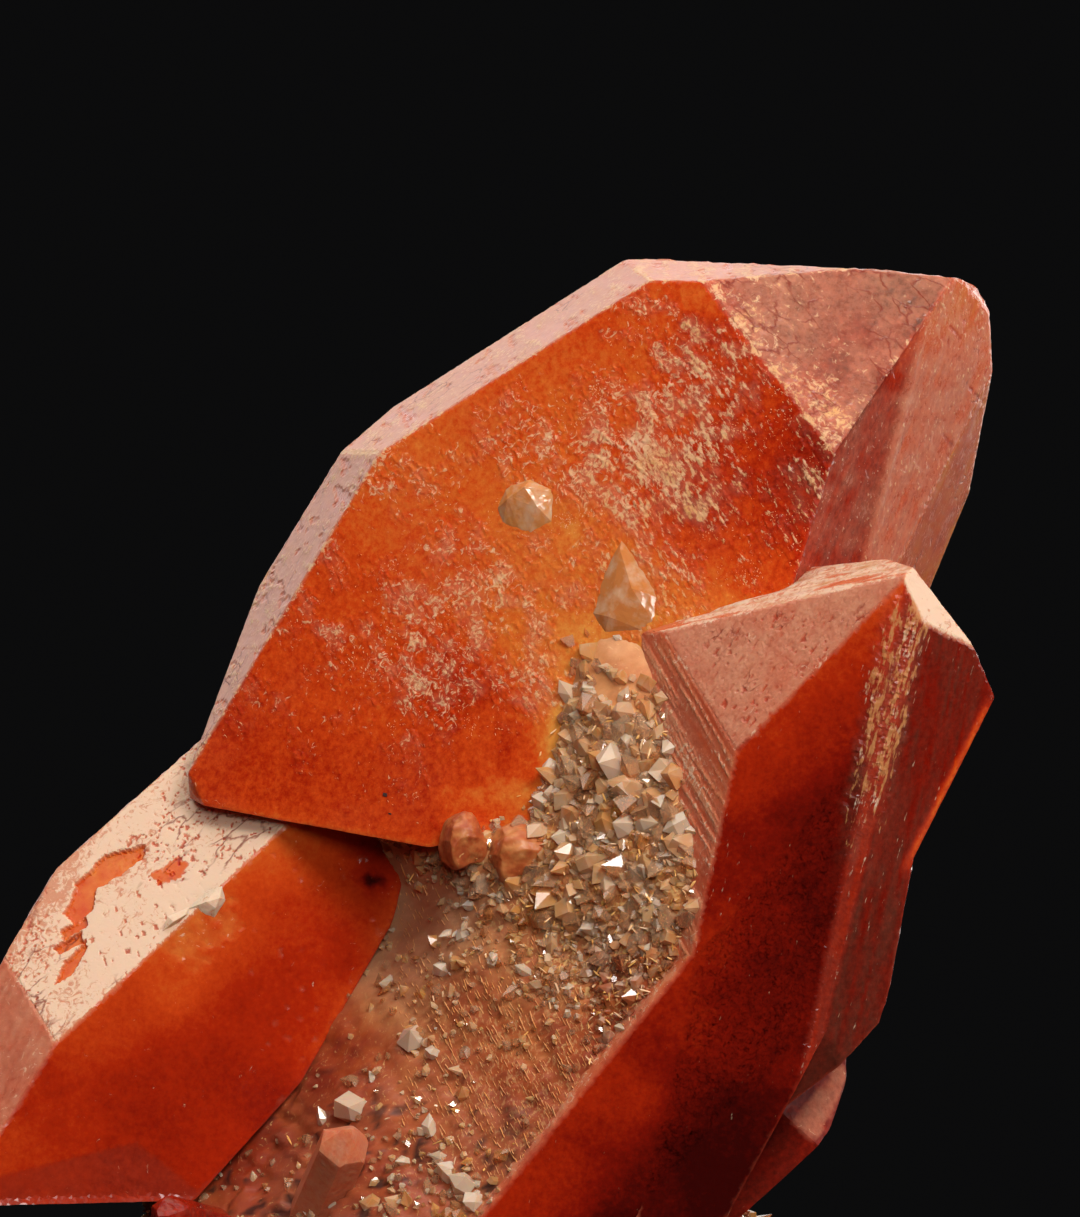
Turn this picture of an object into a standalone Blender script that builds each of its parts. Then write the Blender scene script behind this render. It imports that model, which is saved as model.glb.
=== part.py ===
"""Hematoid quartz in matrix: a cabinet specimen of rusty red quartz crystals on a piece of drusy vein rock.

The specimen stands on a flat sawn face of the rock (z = 0) and is seen from -Y. Every crystal is a solid
bounded by flat faces. A face is laid out on the front elevation of the specimen, drawn on a sheet whose
squares are 0.075 mm: columns run right, rows run down, and depth (mm) runs away from the viewer.
"""

import itertools
import math

import bmesh
import bpy
import numpy as np
from mathutils import Vector, noise

# ---------------------------------------------------------------- driving dimensions
SQUARE = 0.075e-3  # one square of the elevation sheet
MID_COLUMN = 540  # the sheet column at x = 0
LOW_ROW = 1217  # the sheet row that lies BENCH above the sawn face
BENCH = 0.012  # height of LOW_ROW above the sawn face
GAP = 0.0003  # seam between a crystal and what it grew on

ROCK_BACK = 27.0  # depth of the rock's rear face, mm
ROCK_ROUGH = 0.9  # lumps on the rock, mm
ROCK_RINGS = 27  # rings of points up the rock
ROCK_SPOKES = 30  # points across its front, and as many across its back
MAIN_DEPTH = 25.0  # depth of the main crystal's rear face, mm
RIGHT_DEPTH = 13.0
LEFT_DEPTH = 21.0


# ---------------------------------------------------------------- laying out faces
def unit(v):
    v = np.array(v, float)
    return v / np.linalg.norm(v)


def at(square, depth):
    return np.array([(square[0] - MID_COLUMN) * SQUARE, depth * 1e-3, BENCH + (LOW_ROW - square[1]) * SQUARE])


def facing(normal, column, row, depth):
    """A face with this outward normal, through a point of the sheet at a depth."""
    n = unit(normal)
    return n, float(n @ at((column, row), depth))


def on(face, square):
    """The point of a face that the sheet shows at this square."""
    n, d = face
    p = at(square, 0)
    p[1] = (d - n[0] * p[0] - n[2] * p[2]) / n[1]
    return p


def through(a, b, c, inside):
    n = unit(np.cross(b - a, c - a))
    if n @ (inside - a) > 0:
        n = -n
    return n, float(n @ a)


def fold(face, start, end, degrees, inside):
    """The next face round an edge that the sheet shows from start to end; degrees is the turn of the normal."""
    a, b = on(face, start), on(face, end)
    out = np.cross(unit(b - a), face[0])
    if out @ (inside - a) > 0:
        out = -out
    r = math.radians(degrees)
    n = unit(math.cos(r) * face[0] + math.sin(r) * out)
    return n, float(n @ a)


def rim(face, start, end, inside, lean=0.15):
    """A face that runs straight back from an edge of another face, leaning in by this slope."""
    a, b = on(face, start), on(face, end)
    out = np.array([b[2] - a[2], 0.0, a[0] - b[0]])
    out = unit(out)
    if out @ (inside - a) > 0:
        out = -out
    n = unit(np.cross(b - a, unit(np.array([0.0, 1.0, 0.0]) - lean * out)))
    if n @ (inside - a) > 0:
        n = -n
    return n, float(n @ a)


# ---------------------------------------------------------------- solids
def corners_of(faces):
    normals = np.array([f[0] for f in faces])
    dists = np.array([f[1] for f in faces])
    points, owners = [], []
    for trio in itertools.combinations(range(len(faces)), 3):
        m = normals[list(trio)]
        if abs(np.linalg.det(m)) < 1e-6:
            continue
        p = np.linalg.solve(m, dists[list(trio)])
        if (normals @ p - dists).max() > 1e-7:
            continue
        for q, own in zip(points, owners):
            if np.linalg.norm(q - p) < 2e-5:
                own.update(trio)
                break
        else:
            points.append(p)
            owners.append(set(trio))
    loops = []
    for i, n in enumerate(normals):
        ring = [k for k, own in enumerate(owners) if i in own]
        if len(ring) < 3:
            continue
        c = np.mean([points[k] for k in ring], axis=0)
        a = unit(np.cross(n, (0.3, 0.5, 0.81)))
        b = np.cross(n, a)
        ring.sort(key=lambda k: math.atan2((points[k] - c) @ b, (points[k] - c) @ a))
        loops.append(ring)
    return points, loops


def put(name, points, loops, colour, roughness, cutter=False, bent=False):
    mesh = bpy.data.meshes.new(name)
    mesh.from_pydata([tuple(p) for p in points], [], loops)
    bm = bmesh.new()
    bm.from_mesh(mesh)
    if bent:
        bmesh.ops.triangulate(bm, faces=bm.faces[:])
    bmesh.ops.recalc_face_normals(bm, faces=bm.faces[:])
    bm.to_mesh(mesh)
    bm.free()
    ob = bpy.data.objects.new(name, mesh)
    bpy.context.scene.collection.objects.link(ob)
    if cutter:
        ob.hide_render = True
        ob.display_type = "WIRE"
        return ob
    mat = bpy.data.materials.new(name + "_mineral")
    mat.use_nodes = True
    shader = mat.node_tree.nodes["Principled BSDF"]
    shader.inputs["Base Color"].default_value = (*colour, 1.0)
    shader.inputs["Roughness"].default_value = roughness
    shader.inputs["Metallic"].default_value = 0.0
    shader.inputs["IOR"].default_value = 1.544
    mesh.materials.append(mat)
    return ob


def crystal(name, faces, colour=(0.5, 0.06, 0.02), roughness=0.25, grow=0.0, cutter=False):
    """A solid bounded by flat faces; grow moves every face outwards, for the socket it leaves."""
    points, loops = corners_of([(n, d + grow) for n, d in faces])
    return put(name, points, loops, colour, roughness, cutter)


def combine(ob, other, how):
    m = ob.modifiers.new(how.lower() + "_" + other.name, "BOOLEAN")
    m.operation = how
    m.solver = "EXACT"
    m.object = other


# ---------------------------------------------------------------- the crystals' faces
def main_faces():
    """The largest crystal, leaning up to the right: a big front face, bevels round it, a broken rear."""
    ins = at((600, 600), 4)
    front = facing((-0.42, -0.89, 0.16), 833, 455, -13)
    tip = fold(front, (701, 281), (834, 453), 38, ins)
    right = through(on(front, (834, 453)), on(front, (803, 551)), on(tip, (931, 310)), ins)
    upper = fold(front, (377, 453), (650, 280), 56, ins)
    left = fold(front, (379, 452), (191, 765), 46, ins)
    edge = fold(right, (997, 366), (903, 554), 16, ins)
    return [
        front,
        tip,
        right,
        upper,
        left,
        through(on(front, (650, 280)), on(front, (701, 281)), on(tip, (850, 268.5)), ins),
        edge,
        fold(front, (203, 807), (430, 848), 108, ins),
        fold(front, (189, 780), (203, 807), 50, ins),
        fold(front, (430, 848), (960, 700), 105, ins),
        facing((0.30, 0.94, -0.10), 600, 560, MAIN_DEPTH),
        fold(upper, (353, 430), (610, 267), 50, ins),
        fold(left, (350, 433), (257, 585), 50, ins),
        fold(left, (257, 585), (192, 758), 40, ins),
        fold(tip, (850, 268), (940, 276), 60, ins),
        fold(right, (960, 276), (1001, 320), 50, ins),
        fold(edge, (1003, 325), (953, 604), 60, ins),
    ]


MAIN = main_faces()
RIGHT_FRONT = facing((-0.18, -0.975, -0.08), 905, 575, -23)


def right_upper_faces():
    """The steep crystal at the right: its upper half, with the bevel over it and the rough strip down its edge."""
    ins = at((850, 750), -8)
    near = at((760, 800), -14)
    shoulder = fold(RIGHT_FRONT, (735, 750), (905, 575), 38, ins)
    strip = fold(RIGHT_FRONT, (905, 575), (815, 1000), 22, near)
    side = fold(strip, (918, 632), (830, 1000), 27, near)
    bevel = fold(shoulder, (663, 631), (905, 574), 42, ins)
    return [
        RIGHT_FRONT,
        shoulder,
        through(on(RIGHT_FRONT, (735, 750)), on(RIGHT_FRONT, (690, 960)), on(shoulder, (663, 632)), ins),
        bevel,
        side,
        strip,
        fold(side, (916, 620), (972, 647), 24, near),
        rim(bevel, (640, 614), (800, 568), ins, 0.3),
        rim(bevel, (800, 568), (908, 556), ins, 0.3),
        rim(side, (912, 560), (970, 643), ins, 0.2),
        rim(side, (993, 697), (912, 857), ins, 0.1),
        rim(side, (972, 647), (993, 697), ins, 0.1),
        facing((0.18, 0.97, 0.08), 905, 800, RIGHT_DEPTH),
        facing((-0.8, 0.6, 0.05), 596, 640, -4),
        facing((0, 0, -1), 600, 1285, 18),
    ]


def right_lower_faces():
    """Its lower half, wider, and running down into the rock."""
    ins = at((740, 1040), -8)
    side, strip = right_upper_faces()[4:6]
    return [
        RIGHT_FRONT,
        side,
        strip,
        rim(side, (912, 857), (888, 988), ins, 0.1),
        rim(side, (888, 988), (878, 1021), ins, 0.1),
        rim(side, (878, 1021), (846, 1056), ins, 0.25),
        rim(side, (846, 1056), (790, 1117), ins, 0.45),
        through(on(RIGHT_FRONT, (744, 1100)), on(RIGHT_FRONT, (640, 1210)), on(side, (840, 1062)), ins),
        fold(RIGHT_FRONT, (697, 945), (480, 1217), 60, ins),
        facing((0.2, 0.3, 1), 800, 770, 0),
        facing((0.18, 0.97, 0.08), 905, 800, RIGHT_DEPTH - 2),
        facing((-0.62, 0.78, 0.05), 470, 1235, -8),
        facing((0.05, -0.30, -0.95), 600, 1258, -14.5),
    ]


def left_faces():
    """The crystal that points out to the lower left."""
    ins = at((200, 1020), 12)
    front = facing((0.25, -0.95, -0.10), 269, 840, 3)
    top = fold(front, (269, 840), (55, 1043), 52, ins)
    end = through(on(front, (55, 1043)), on(front, (0, 1132)), on(top, (2, 958)), ins)
    return [
        front,
        top,
        end,
        fold(front, (0, 1207), (196, 1203), 97, ins),
        fold(end, (3, 955), (-48, 1060), 60, ins),
        fold(end, (-48, 1060), (-30, 1150), 50, ins),
        fold(front, (412, 840), (393, 923), 80, ins),
        fold(front, (393, 923), (300, 1085), 80, ins),
        fold(front, (300, 1085), (196, 1200), 80, ins),
        fold(top, (54, 869), (193, 745), 60, ins),
        fold(top, (3, 955), (54, 869), 60, ins),
        facing((-0.1, 0.97, 0.2), 200, 1000, LEFT_DEPTH),
        facing((0.3, 0.1, 1), 300, 735, 10),
    ]


def lower_right_faces():
    """The small pale-tipped crystal under the right one."""
    ins = at((780, 1150), 0)
    front = facing((0.22, -0.90, -0.36), 790, 1119, -9)
    pale = fold(front, (790, 1119), (811, 1138), 46, ins)
    return [
        front,
        pale,
        rim(pale, (846, 1040), (847, 1080), ins, 0.1),
        rim(pale, (847, 1080), (828, 1135), ins, 0.1),
        rim(front, (828, 1135), (805, 1158), ins, 0.15),
        rim(front, (805, 1158), (738, 1219), ins, 0.15),
        facing((-0.9, -0.3, -0.2), 660, 1200, -4),
        facing((0.02, 0.95, 0.2), 790, 1100, 9),
        facing((-0.1, 0.1, 1), 820, 1035, -8),
    ]


def pointed(tip, tip_depth, foot, foot_depth, width, turn=0.0, blunt=0.55, flat=1.0):
    """A six-sided crystal with a six-sided point, from its foot to its tip; width in mm across its sides."""
    a, b = at(foot, foot_depth), at(tip, tip_depth)
    axis = unit(b - a)
    u = unit(np.cross(axis, (0.13, 1.0, 0.21)))
    v = np.cross(axis, u)
    faces = [(-axis, float(-axis @ a))]
    for k in range(6):
        t = math.radians(60 * k + turn)
        squash = flat if k % 3 else 1.0
        side = math.cos(t) * u + math.sin(t) * v
        half = 0.5e-3 * width * squash
        faces.append((side, float(side @ a) + half))
        slope = unit(math.cos(math.radians(51.8)) * axis + math.sin(math.radians(51.8)) * side)
        drop = 0.0004 * width * blunt * (0.35 if k % 2 else 1.0)
        faces.append((slope, float(slope @ b) - 0.0 * half + (0.0 if k % 2 else drop * 0.3)))
    return faces


def plate(outline, face, height, taper):
    """A small crystal grown over a face: its outline on the sheet, its height in mm."""
    n = face[0]
    low = [on(face, p) - n * 0.0012 for p in outline]
    mid = np.mean(low, axis=0)
    high = [p + (mid - p) * taper * (1 + 0.25 * math.sin(2.3 * i)) + n * (0.0012 + height * 1e-3) for i, p in enumerate(low)]
    k = len(outline)
    loops = [list(range(k - 1, -1, -1)), list(range(k, 2 * k))]
    loops += [[i, (i + 1) % k, k + (i + 1) % k, k + i] for i in range(k)]
    return low + high, loops


def nodule(centre, depth, radii, name, colour, grow=0.0, cutter=False, lumps=0.12, level=3):
    """A rounded, slightly knobbly grain; radii in mm."""
    bm = bmesh.new()
    bmesh.ops.create_icosphere(bm, subdivisions=level, radius=1.0)
    c = Vector(at(centre, depth))
    for v in bm.verts:
        d = v.co.normalized()
        r = 1.0 + lumps * noise.noise(d * 1.7 + c * 900.0)
        v.co = c + Vector([d[i] * (radii[i] * r * 1e-3 + grow) for i in range(3)])
    points = [np.array(v.co) for v in bm.verts]
    loops = [[v.index for v in f.verts] for f in bm.faces]
    bm.free()
    return put(name, points, loops, colour, 0.3, cutter)


# ---------------------------------------------------------------- the rock
# The front of the rock, read as heights over the sheet: (column, row, depth).
ROCK_FRONT = [
    # tucked behind the main crystal's front face
    (600, 590, -4.6), (540, 690, -4.2), (480, 780, -3.0), (680, 600, -6.0), (420, 800, -1.0), (300, 760, 6.0),
    # the valley beside the main crystal
    (605, 665, -8.7), (655, 690, -10.6), (595, 745, -10.0), (650, 760, -12.0), (590, 800, -10.2), (645, 830, -13.4),
    (700, 800, -16.0), (560, 830, -9.0), (520, 850, -7.2), (470, 860, -5.6),
    (600, 870, -11.6), (650, 890, -14.8), (695, 905, -17.6), (740, 850, -17.6),
    (560, 930, -9.6), (610, 960, -12.8), (655, 985, -15.9), (720, 970, -15.6),
    # the long slope below it
    (500, 940, -6.8), (455, 940, -3.6), (430, 900, 1.6), (404, 895, 6.0), (377, 960, 6.2), (440, 1010, -3.8),
    (495, 1040, -7.6), (550, 1060, -11.4), (595, 1080, -14.8), (660, 1080, -13.4), (322, 1035, 6.1), (302, 1088, 5.9),
    (390, 1050, -0.8), (440, 1110, -6.4), (500, 1130, -10.8), (545, 1140, -14.2), (262, 1152, 5.4), (215, 1194, 4.8),
    (340, 870, 9.0), (320, 950, 9.0), (270, 1030, 8.6), (225, 1110, 8.0), (170, 1170, 7.4), (260, 900, 9.0),
    (345, 1110, -1.0), (380, 1180, -5.6), (440, 1200, -10.0), (480, 1215, -12.8), (305, 1180, -0.6), (250, 1212, 1.2),
    # below the sheet's last row, down to the sawn face
    (165, 1222, 3.6), (146, 1270, 0.0), (205, 1290, -5.0), (300, 1268, -6.4), (400, 1258, -12.0), (500, 1256, -16.0),
    (600, 1256, -17.6), (690, 1256, -16.0), (745, 1240, -12.0), (640, 1180, -12.6), (720, 1180, -8.0), (790, 1290, -12.0),
    (140, 1377, -4.0), (240, 1377, -11.0), (400, 1377, -16.0), (600, 1377, -18.4), (720, 1377, -16.0), (800, 1377, -8.0),
    (560, 1310, -18.6), (300, 1330, -11.0), (700, 1320, -17.4),
]
# Its left and right limits by row.
ROCK_SIDES = [
    # row, left column, right column
    (1377, 118, 812), (1345, 112, 822), (1305, 118, 810), (1260, 134, 792), (1217, 152, 734), (1150, 168, 745),
    (1080, 180, 790), (1010, 186, 838), (930, 196, 868), (850, 214, 884), (780, 262, 880), (720, 340, 860),
    (660, 440, 800), (625, 520, 740),
]


def surface_through(samples):
    """A smooth sheet through scattered heights (a thin plate)."""
    p = np.array([(c / 100, r / 100) for c, r, _ in samples])
    h = np.array([d for _, _, d in samples])
    k = len(p)

    def spline(dist):
        return np.where(dist > 0, dist**2 * np.log(np.maximum(dist, 1e-9)), 0)

    a = np.zeros((k + 3, k + 3))
    a[:k, :k] = spline(np.linalg.norm(p[:, None] - p[None], axis=2)) + 0.02 * np.eye(k)
    a[:k, k:] = np.c_[np.ones(k), p]
    a[k:, :k] = a[:k, k:].T
    w = np.linalg.solve(a, np.r_[h, 0, 0, 0])

    def height(c, r):
        q = np.array([c / 100, r / 100])
        return float(spline(np.linalg.norm(p - q, axis=1)) @ w[:k] + w[k] + w[k + 1] * q[0] + w[k + 2] * q[1])

    return height


def rock():
    front = surface_through(ROCK_FRONT)
    rows = np.linspace(ROCK_SIDES[0][0], ROCK_SIDES[-1][0], ROCK_RINGS)
    table = np.array(ROCK_SIDES[::-1], float)
    points, loops = [], []
    half = ROCK_SPOKES
    for i, row in enumerate(rows):
        left, right = np.interp(row, table[:, 0], table[:, 1]), np.interp(row, table[:, 0], table[:, 2])
        mid, wide = (left + right) / 2, (right - left) / 2
        up = i / (ROCK_RINGS - 1)
        flank = 12.0
        rear = ROCK_BACK - 2.0 * (1 - up) ** 2 - 13.0 * max(0.0, up - 0.62) / 0.38
        for j in range(2 * half):
            face_front = j < half
            t = -1 + 2 * (j + 0.5) / half if face_front else 1 - 2 * (j - half + 0.5) / half
            column = mid + wide * math.sin(t * math.pi / 2) ** 1 if abs(t) < 1 else mid + wide * t
            crown = (1 - abs(math.sin(t * math.pi / 2)) ** 4) ** 0.5
            depth = flank + ((min(front(column, row), 9.5) if face_front else rear) - flank) * crown
            p = at((column, row), depth)
            q = Vector((column, row, depth * 13.3)) / 95.0
            rough = noise.noise(q * 1.1) + 0.5 * noise.noise(q * 2.6)
            side = 0.35 if face_front else 1.6
            push = rough * ROCK_ROUGH * side * 1e-3
            aim = unit((p[0] - at((mid, row), 0)[0], p[1] - flank * 1e-3, 0.0))
            if 0 < i:
                p = p + aim * push
            points.append(p)
    ring = 2 * half
    for i in range(ROCK_RINGS - 1):
        for j in range(ring):
            a, b = i * ring + j, i * ring + (j + 1) % ring
            loops.append([a, b, b + ring, a + ring])
    loops.append(list(range(ring - 1, -1, -1)))
    top = np.mean(points[-ring:], axis=0) + np.array([0, 0, 0.0008])
    points.append(top)
    last = (ROCK_RINGS - 1) * ring
    loops += [[last + j, last + (j + 1) % ring, len(points) - 1] for j in range(ring)]
    return put("matrix", points, loops, (0.30, 0.15, 0.08), 0.55, bent=True)


# ---------------------------------------------------------------- putting it together
for old in list(bpy.data.objects):
    bpy.data.objects.remove(old, do_unlink=True)

RED = (0.42, 0.035, 0.012)
PALE = (0.55, 0.30, 0.22)

RIGHT_UP, RIGHT_LOW, LEFT = right_upper_faces(), right_lower_faces(), left_faces()
LOWER_RIGHT = lower_right_faces()
LOWER_FRONT = pointed((352, 1128), -8.6, (306, 1232), 1.5, 3.6, turn=12)
BOTTOM_LEFT = pointed((158, 1216), -4.6, (226, 1236), 6.0, 3.2, turn=20)

pair = crystal("crystal_pair", MAIN, RED)
upper = crystal("right_upper_shape", RIGHT_UP, cutter=True)
lower = crystal("right_lower_shape", RIGHT_LOW, cutter=True)
combine(pair, upper, "UNION")
combine(pair, lower, "UNION")
for number, outline in enumerate((
    [(492, 512), (503, 484), (532, 476), (560, 492), (556, 528), (522, 546)],
    [(590, 560), (600, 536), (632, 530), (655, 556), (648, 604), (618, 622), (596, 600)],
)):
    points, loops = plate(outline, MAIN[0], 0.8, 0.34)
    combine(pair, put("overgrowth_shape_%d" % number, points, loops, RED, 0.3, cutter=True, bent=True), "UNION")

left = crystal("left_crystal", LEFT, RED)
lower_right = crystal("lower_right_crystal", LOWER_RIGHT, (0.35, 0.06, 0.03))
lower_front = crystal("lower_front_crystal", LOWER_FRONT, PALE)
bottom_left = crystal("bottom_left_crystal", BOTTOM_LEFT, (0.5, 0.12, 0.04))
milky = nodule((464, 842), -6.2, (1.9, 2.4, 2.3), "milky_knob", (0.6, 0.42, 0.32))
orange = nodule((520, 856), -7.0, (2.9, 2.8, 2.6), "orange_knob", (0.55, 0.16, 0.04))
matrix = rock()

main_socket = crystal("main_socket", MAIN, grow=GAP, cutter=True)
upper_socket = crystal("right_upper_socket", RIGHT_UP, grow=GAP, cutter=True)
lower_socket = crystal("right_lower_socket", RIGHT_LOW, grow=GAP, cutter=True)
left_socket = crystal("left_socket", LEFT, grow=GAP, cutter=True)
lower_right_socket = crystal("lower_right_socket", LOWER_RIGHT, grow=GAP, cutter=True)
lower_front_socket = crystal("lower_front_socket", LOWER_FRONT, grow=GAP, cutter=True)
bottom_left_socket = crystal("bottom_left_socket", BOTTOM_LEFT, grow=GAP, cutter=True)
milky_socket = nodule((464, 842), -6.2, (1.9, 2.4, 2.3), "milky_socket", RED, grow=GAP, cutter=True)
orange_socket = nodule((520, 856), -7.0, (2.9, 2.8, 2.6), "orange_socket", RED, grow=GAP, cutter=True)

# A crystal that another grew over stops against it; the rock holds them all.
combine(left, main_socket, "DIFFERENCE")
combine(lower_right, upper_socket, "DIFFERENCE")
combine(lower_right, lower_socket, "DIFFERENCE")
for piece in (milky, orange):
    combine(piece, main_socket, "DIFFERENCE")
combine(milky, orange_socket, "DIFFERENCE")
for socket in (
    main_socket,
    upper_socket,
    lower_socket,
    left_socket,
    lower_right_socket,
    lower_front_socket,
    bottom_left_socket,
    milky_socket,
    orange_socket,
):
    combine(matrix, socket, "DIFFERENCE")
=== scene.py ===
"""The looks of a hematoid quartz specimen: rusty red, partly clear crystals on drusy vein rock.

Everything is laid out on the front elevation of the specimen, drawn on a sheet whose squares are 0.075 mm:
columns run right, rows run down, and depth (mm) runs away from the viewer.
"""

import itertools
import math

import bpy
import numpy as np
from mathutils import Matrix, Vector, noise
from mathutils.geometry import delaunay_2d_cdt


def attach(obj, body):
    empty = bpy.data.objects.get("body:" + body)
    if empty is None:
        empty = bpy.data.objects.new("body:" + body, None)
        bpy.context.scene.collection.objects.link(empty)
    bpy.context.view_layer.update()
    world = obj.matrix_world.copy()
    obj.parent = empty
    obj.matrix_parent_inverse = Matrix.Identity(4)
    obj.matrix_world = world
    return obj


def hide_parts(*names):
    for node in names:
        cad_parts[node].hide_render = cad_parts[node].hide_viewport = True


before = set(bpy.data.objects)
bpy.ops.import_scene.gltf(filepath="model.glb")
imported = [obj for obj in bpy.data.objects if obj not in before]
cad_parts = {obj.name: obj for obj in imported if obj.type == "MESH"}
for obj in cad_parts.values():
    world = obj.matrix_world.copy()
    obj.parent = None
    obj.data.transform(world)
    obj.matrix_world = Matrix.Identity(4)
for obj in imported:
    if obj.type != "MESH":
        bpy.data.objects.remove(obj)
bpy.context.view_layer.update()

SQUARE = 0.075e-3
MID_COLUMN = 540
LOW_ROW = 1217
BENCH = 0.012
ROCK_BACK = 27.0
MAIN_DEPTH = 25.0
RIGHT_DEPTH = 13.0
LEFT_DEPTH = 21.0
MM = 1e-3


# ================================================================ laying out faces
def unit(v):
    v = np.array(v, float)
    return v / np.linalg.norm(v)


def at(square, depth):
    return np.array([(square[0] - MID_COLUMN) * SQUARE, depth * 1e-3, BENCH + (LOW_ROW - square[1]) * SQUARE])


def sheet_of(p):
    """Columns and rows of points."""
    return MID_COLUMN + p[:, 0] / SQUARE, LOW_ROW - (p[:, 2] - BENCH) / SQUARE


def facing(normal, column, row, depth):
    n = unit(normal)
    return n, float(n @ at((column, row), depth))


def on(face, square):
    n, d = face
    p = at(square, 0)
    p[1] = (d - n[0] * p[0] - n[2] * p[2]) / n[1]
    return p


def through(a, b, c, inside):
    n = unit(np.cross(b - a, c - a))
    if n @ (inside - a) > 0:
        n = -n
    return n, float(n @ a)


def fold(face, start, end, degrees, inside):
    a, b = on(face, start), on(face, end)
    out = np.cross(unit(b - a), face[0])
    if out @ (inside - a) > 0:
        out = -out
    r = math.radians(degrees)
    n = unit(math.cos(r) * face[0] + math.sin(r) * out)
    return n, float(n @ a)


def rim(face, start, end, inside, lean=0.15):
    a, b = on(face, start), on(face, end)
    out = unit(np.array([b[2] - a[2], 0.0, a[0] - b[0]]))
    if out @ (inside - a) > 0:
        out = -out
    n = unit(np.cross(b - a, unit(np.array([0.0, 1.0, 0.0]) - lean * out)))
    if n @ (inside - a) > 0:
        n = -n
    return n, float(n @ a)


def main_faces():
    ins = at((600, 600), 4)
    front = facing((-0.42, -0.89, 0.16), 833, 455, -13)
    tip = fold(front, (701, 281), (834, 453), 38, ins)
    right = through(on(front, (834, 453)), on(front, (803, 551)), on(tip, (931, 310)), ins)
    upper = fold(front, (377, 453), (650, 280), 56, ins)
    left = fold(front, (379, 452), (191, 765), 46, ins)
    edge = fold(right, (997, 366), (903, 554), 16, ins)
    return {
        "front": front,
        "tip": tip,
        "right": right,
        "upper": upper,
        "left": left,
        "top": through(on(front, (650, 280)), on(front, (701, 281)), on(tip, (850, 268.5)), ins),
        "edge": edge,
        "under_a": fold(front, (203, 807), (430, 848), 108, ins),
        "under_b": fold(front, (189, 780), (203, 807), 50, ins),
        "under_c": fold(front, (430, 848), (960, 700), 105, ins),
        "rear": facing((0.30, 0.94, -0.10), 600, 560, MAIN_DEPTH),
        "rear_a": fold(upper, (353, 430), (610, 267), 50, ins),
        "rear_b": fold(left, (350, 433), (257, 585), 50, ins),
        "rear_c": fold(left, (257, 585), (192, 758), 40, ins),
        "rear_d": fold(tip, (850, 268), (940, 276), 60, ins),
        "rear_e": fold(right, (960, 276), (1001, 320), 50, ins),
        "rear_f": fold(edge, (1003, 325), (953, 604), 60, ins),
    }


MAIN = main_faces()
RIGHT_FRONT = facing((-0.18, -0.975, -0.08), 905, 575, -23)


def right_upper_faces():
    ins = at((850, 750), -8)
    near = at((760, 800), -14)
    shoulder = fold(RIGHT_FRONT, (735, 750), (905, 575), 38, ins)
    strip = fold(RIGHT_FRONT, (905, 575), (815, 1000), 22, near)
    side = fold(strip, (918, 632), (830, 1000), 27, near)
    bevel = fold(shoulder, (663, 631), (905, 574), 42, ins)
    return {
        "front": RIGHT_FRONT,
        "shoulder": shoulder,
        "flank": through(on(RIGHT_FRONT, (735, 750)), on(RIGHT_FRONT, (690, 960)), on(shoulder, (663, 632)), ins),
        "bevel": bevel,
        "side": side,
        "strip": strip,
        "white": fold(side, (916, 620), (972, 647), 24, near),
        "rim_a": rim(bevel, (640, 614), (800, 568), ins, 0.3),
        "rim_b": rim(bevel, (800, 568), (908, 556), ins, 0.3),
        "rim_c": rim(side, (912, 560), (970, 643), ins, 0.2),
        "rim_d": rim(side, (993, 697), (912, 857), ins, 0.1),
        "rim_e": rim(side, (972, 647), (993, 697), ins, 0.1),
        "rear": facing((0.18, 0.97, 0.08), 905, 800, RIGHT_DEPTH),
        "inner": facing((-0.8, 0.6, 0.05), 596, 640, -4),
        "foot": facing((0, 0, -1), 600, 1285, 18),
    }


def right_lower_faces():
    ins = at((740, 1040), -8)
    side = right_upper_faces()["side"]
    return {
        "front": RIGHT_FRONT,
        "side": side,
        "strip": right_upper_faces()["strip"],
        "rim_a": rim(side, (912, 857), (888, 988), ins, 0.1),
        "rim_b": rim(side, (888, 988), (878, 1021), ins, 0.1),
        "rim_c": rim(side, (878, 1021), (846, 1056), ins, 0.25),
        "rim_d": rim(side, (846, 1056), (790, 1117), ins, 0.45),
        "under": through(on(RIGHT_FRONT, (744, 1100)), on(RIGHT_FRONT, (640, 1210)), on(side, (840, 1062)), ins),
        "valley": fold(RIGHT_FRONT, (697, 945), (480, 1217), 60, ins),
        "top": facing((0.2, 0.3, 1), 800, 770, 0),
        "rear": facing((0.18, 0.97, 0.08), 905, 800, RIGHT_DEPTH - 2),
        "inner": facing((-0.62, 0.78, 0.05), 470, 1235, -8),
        "foot": facing((0.05, -0.30, -0.95), 600, 1258, -14.5),
    }


def left_faces():
    ins = at((200, 1020), 12)
    front = facing((0.25, -0.95, -0.10), 269, 840, 3)
    top = fold(front, (269, 840), (55, 1043), 52, ins)
    end = through(on(front, (55, 1043)), on(front, (0, 1132)), on(top, (2, 958)), ins)
    return {
        "front": front,
        "top": top,
        "end": end,
        "base": fold(front, (0, 1207), (196, 1203), 97, ins),
        "end_a": fold(end, (3, 955), (-48, 1060), 60, ins),
        "end_b": fold(end, (-48, 1060), (-30, 1150), 50, ins),
        "root_a": fold(front, (412, 840), (393, 923), 80, ins),
        "root_b": fold(front, (393, 923), (300, 1085), 80, ins),
        "root_c": fold(front, (300, 1085), (196, 1200), 80, ins),
        "rear_a": fold(top, (54, 869), (193, 745), 60, ins),
        "rear_b": fold(top, (3, 955), (54, 869), 60, ins),
        "rear": facing((-0.1, 0.97, 0.2), 200, 1000, LEFT_DEPTH),
        "cap": facing((0.3, 0.1, 1), 300, 735, 10),
    }


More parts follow.
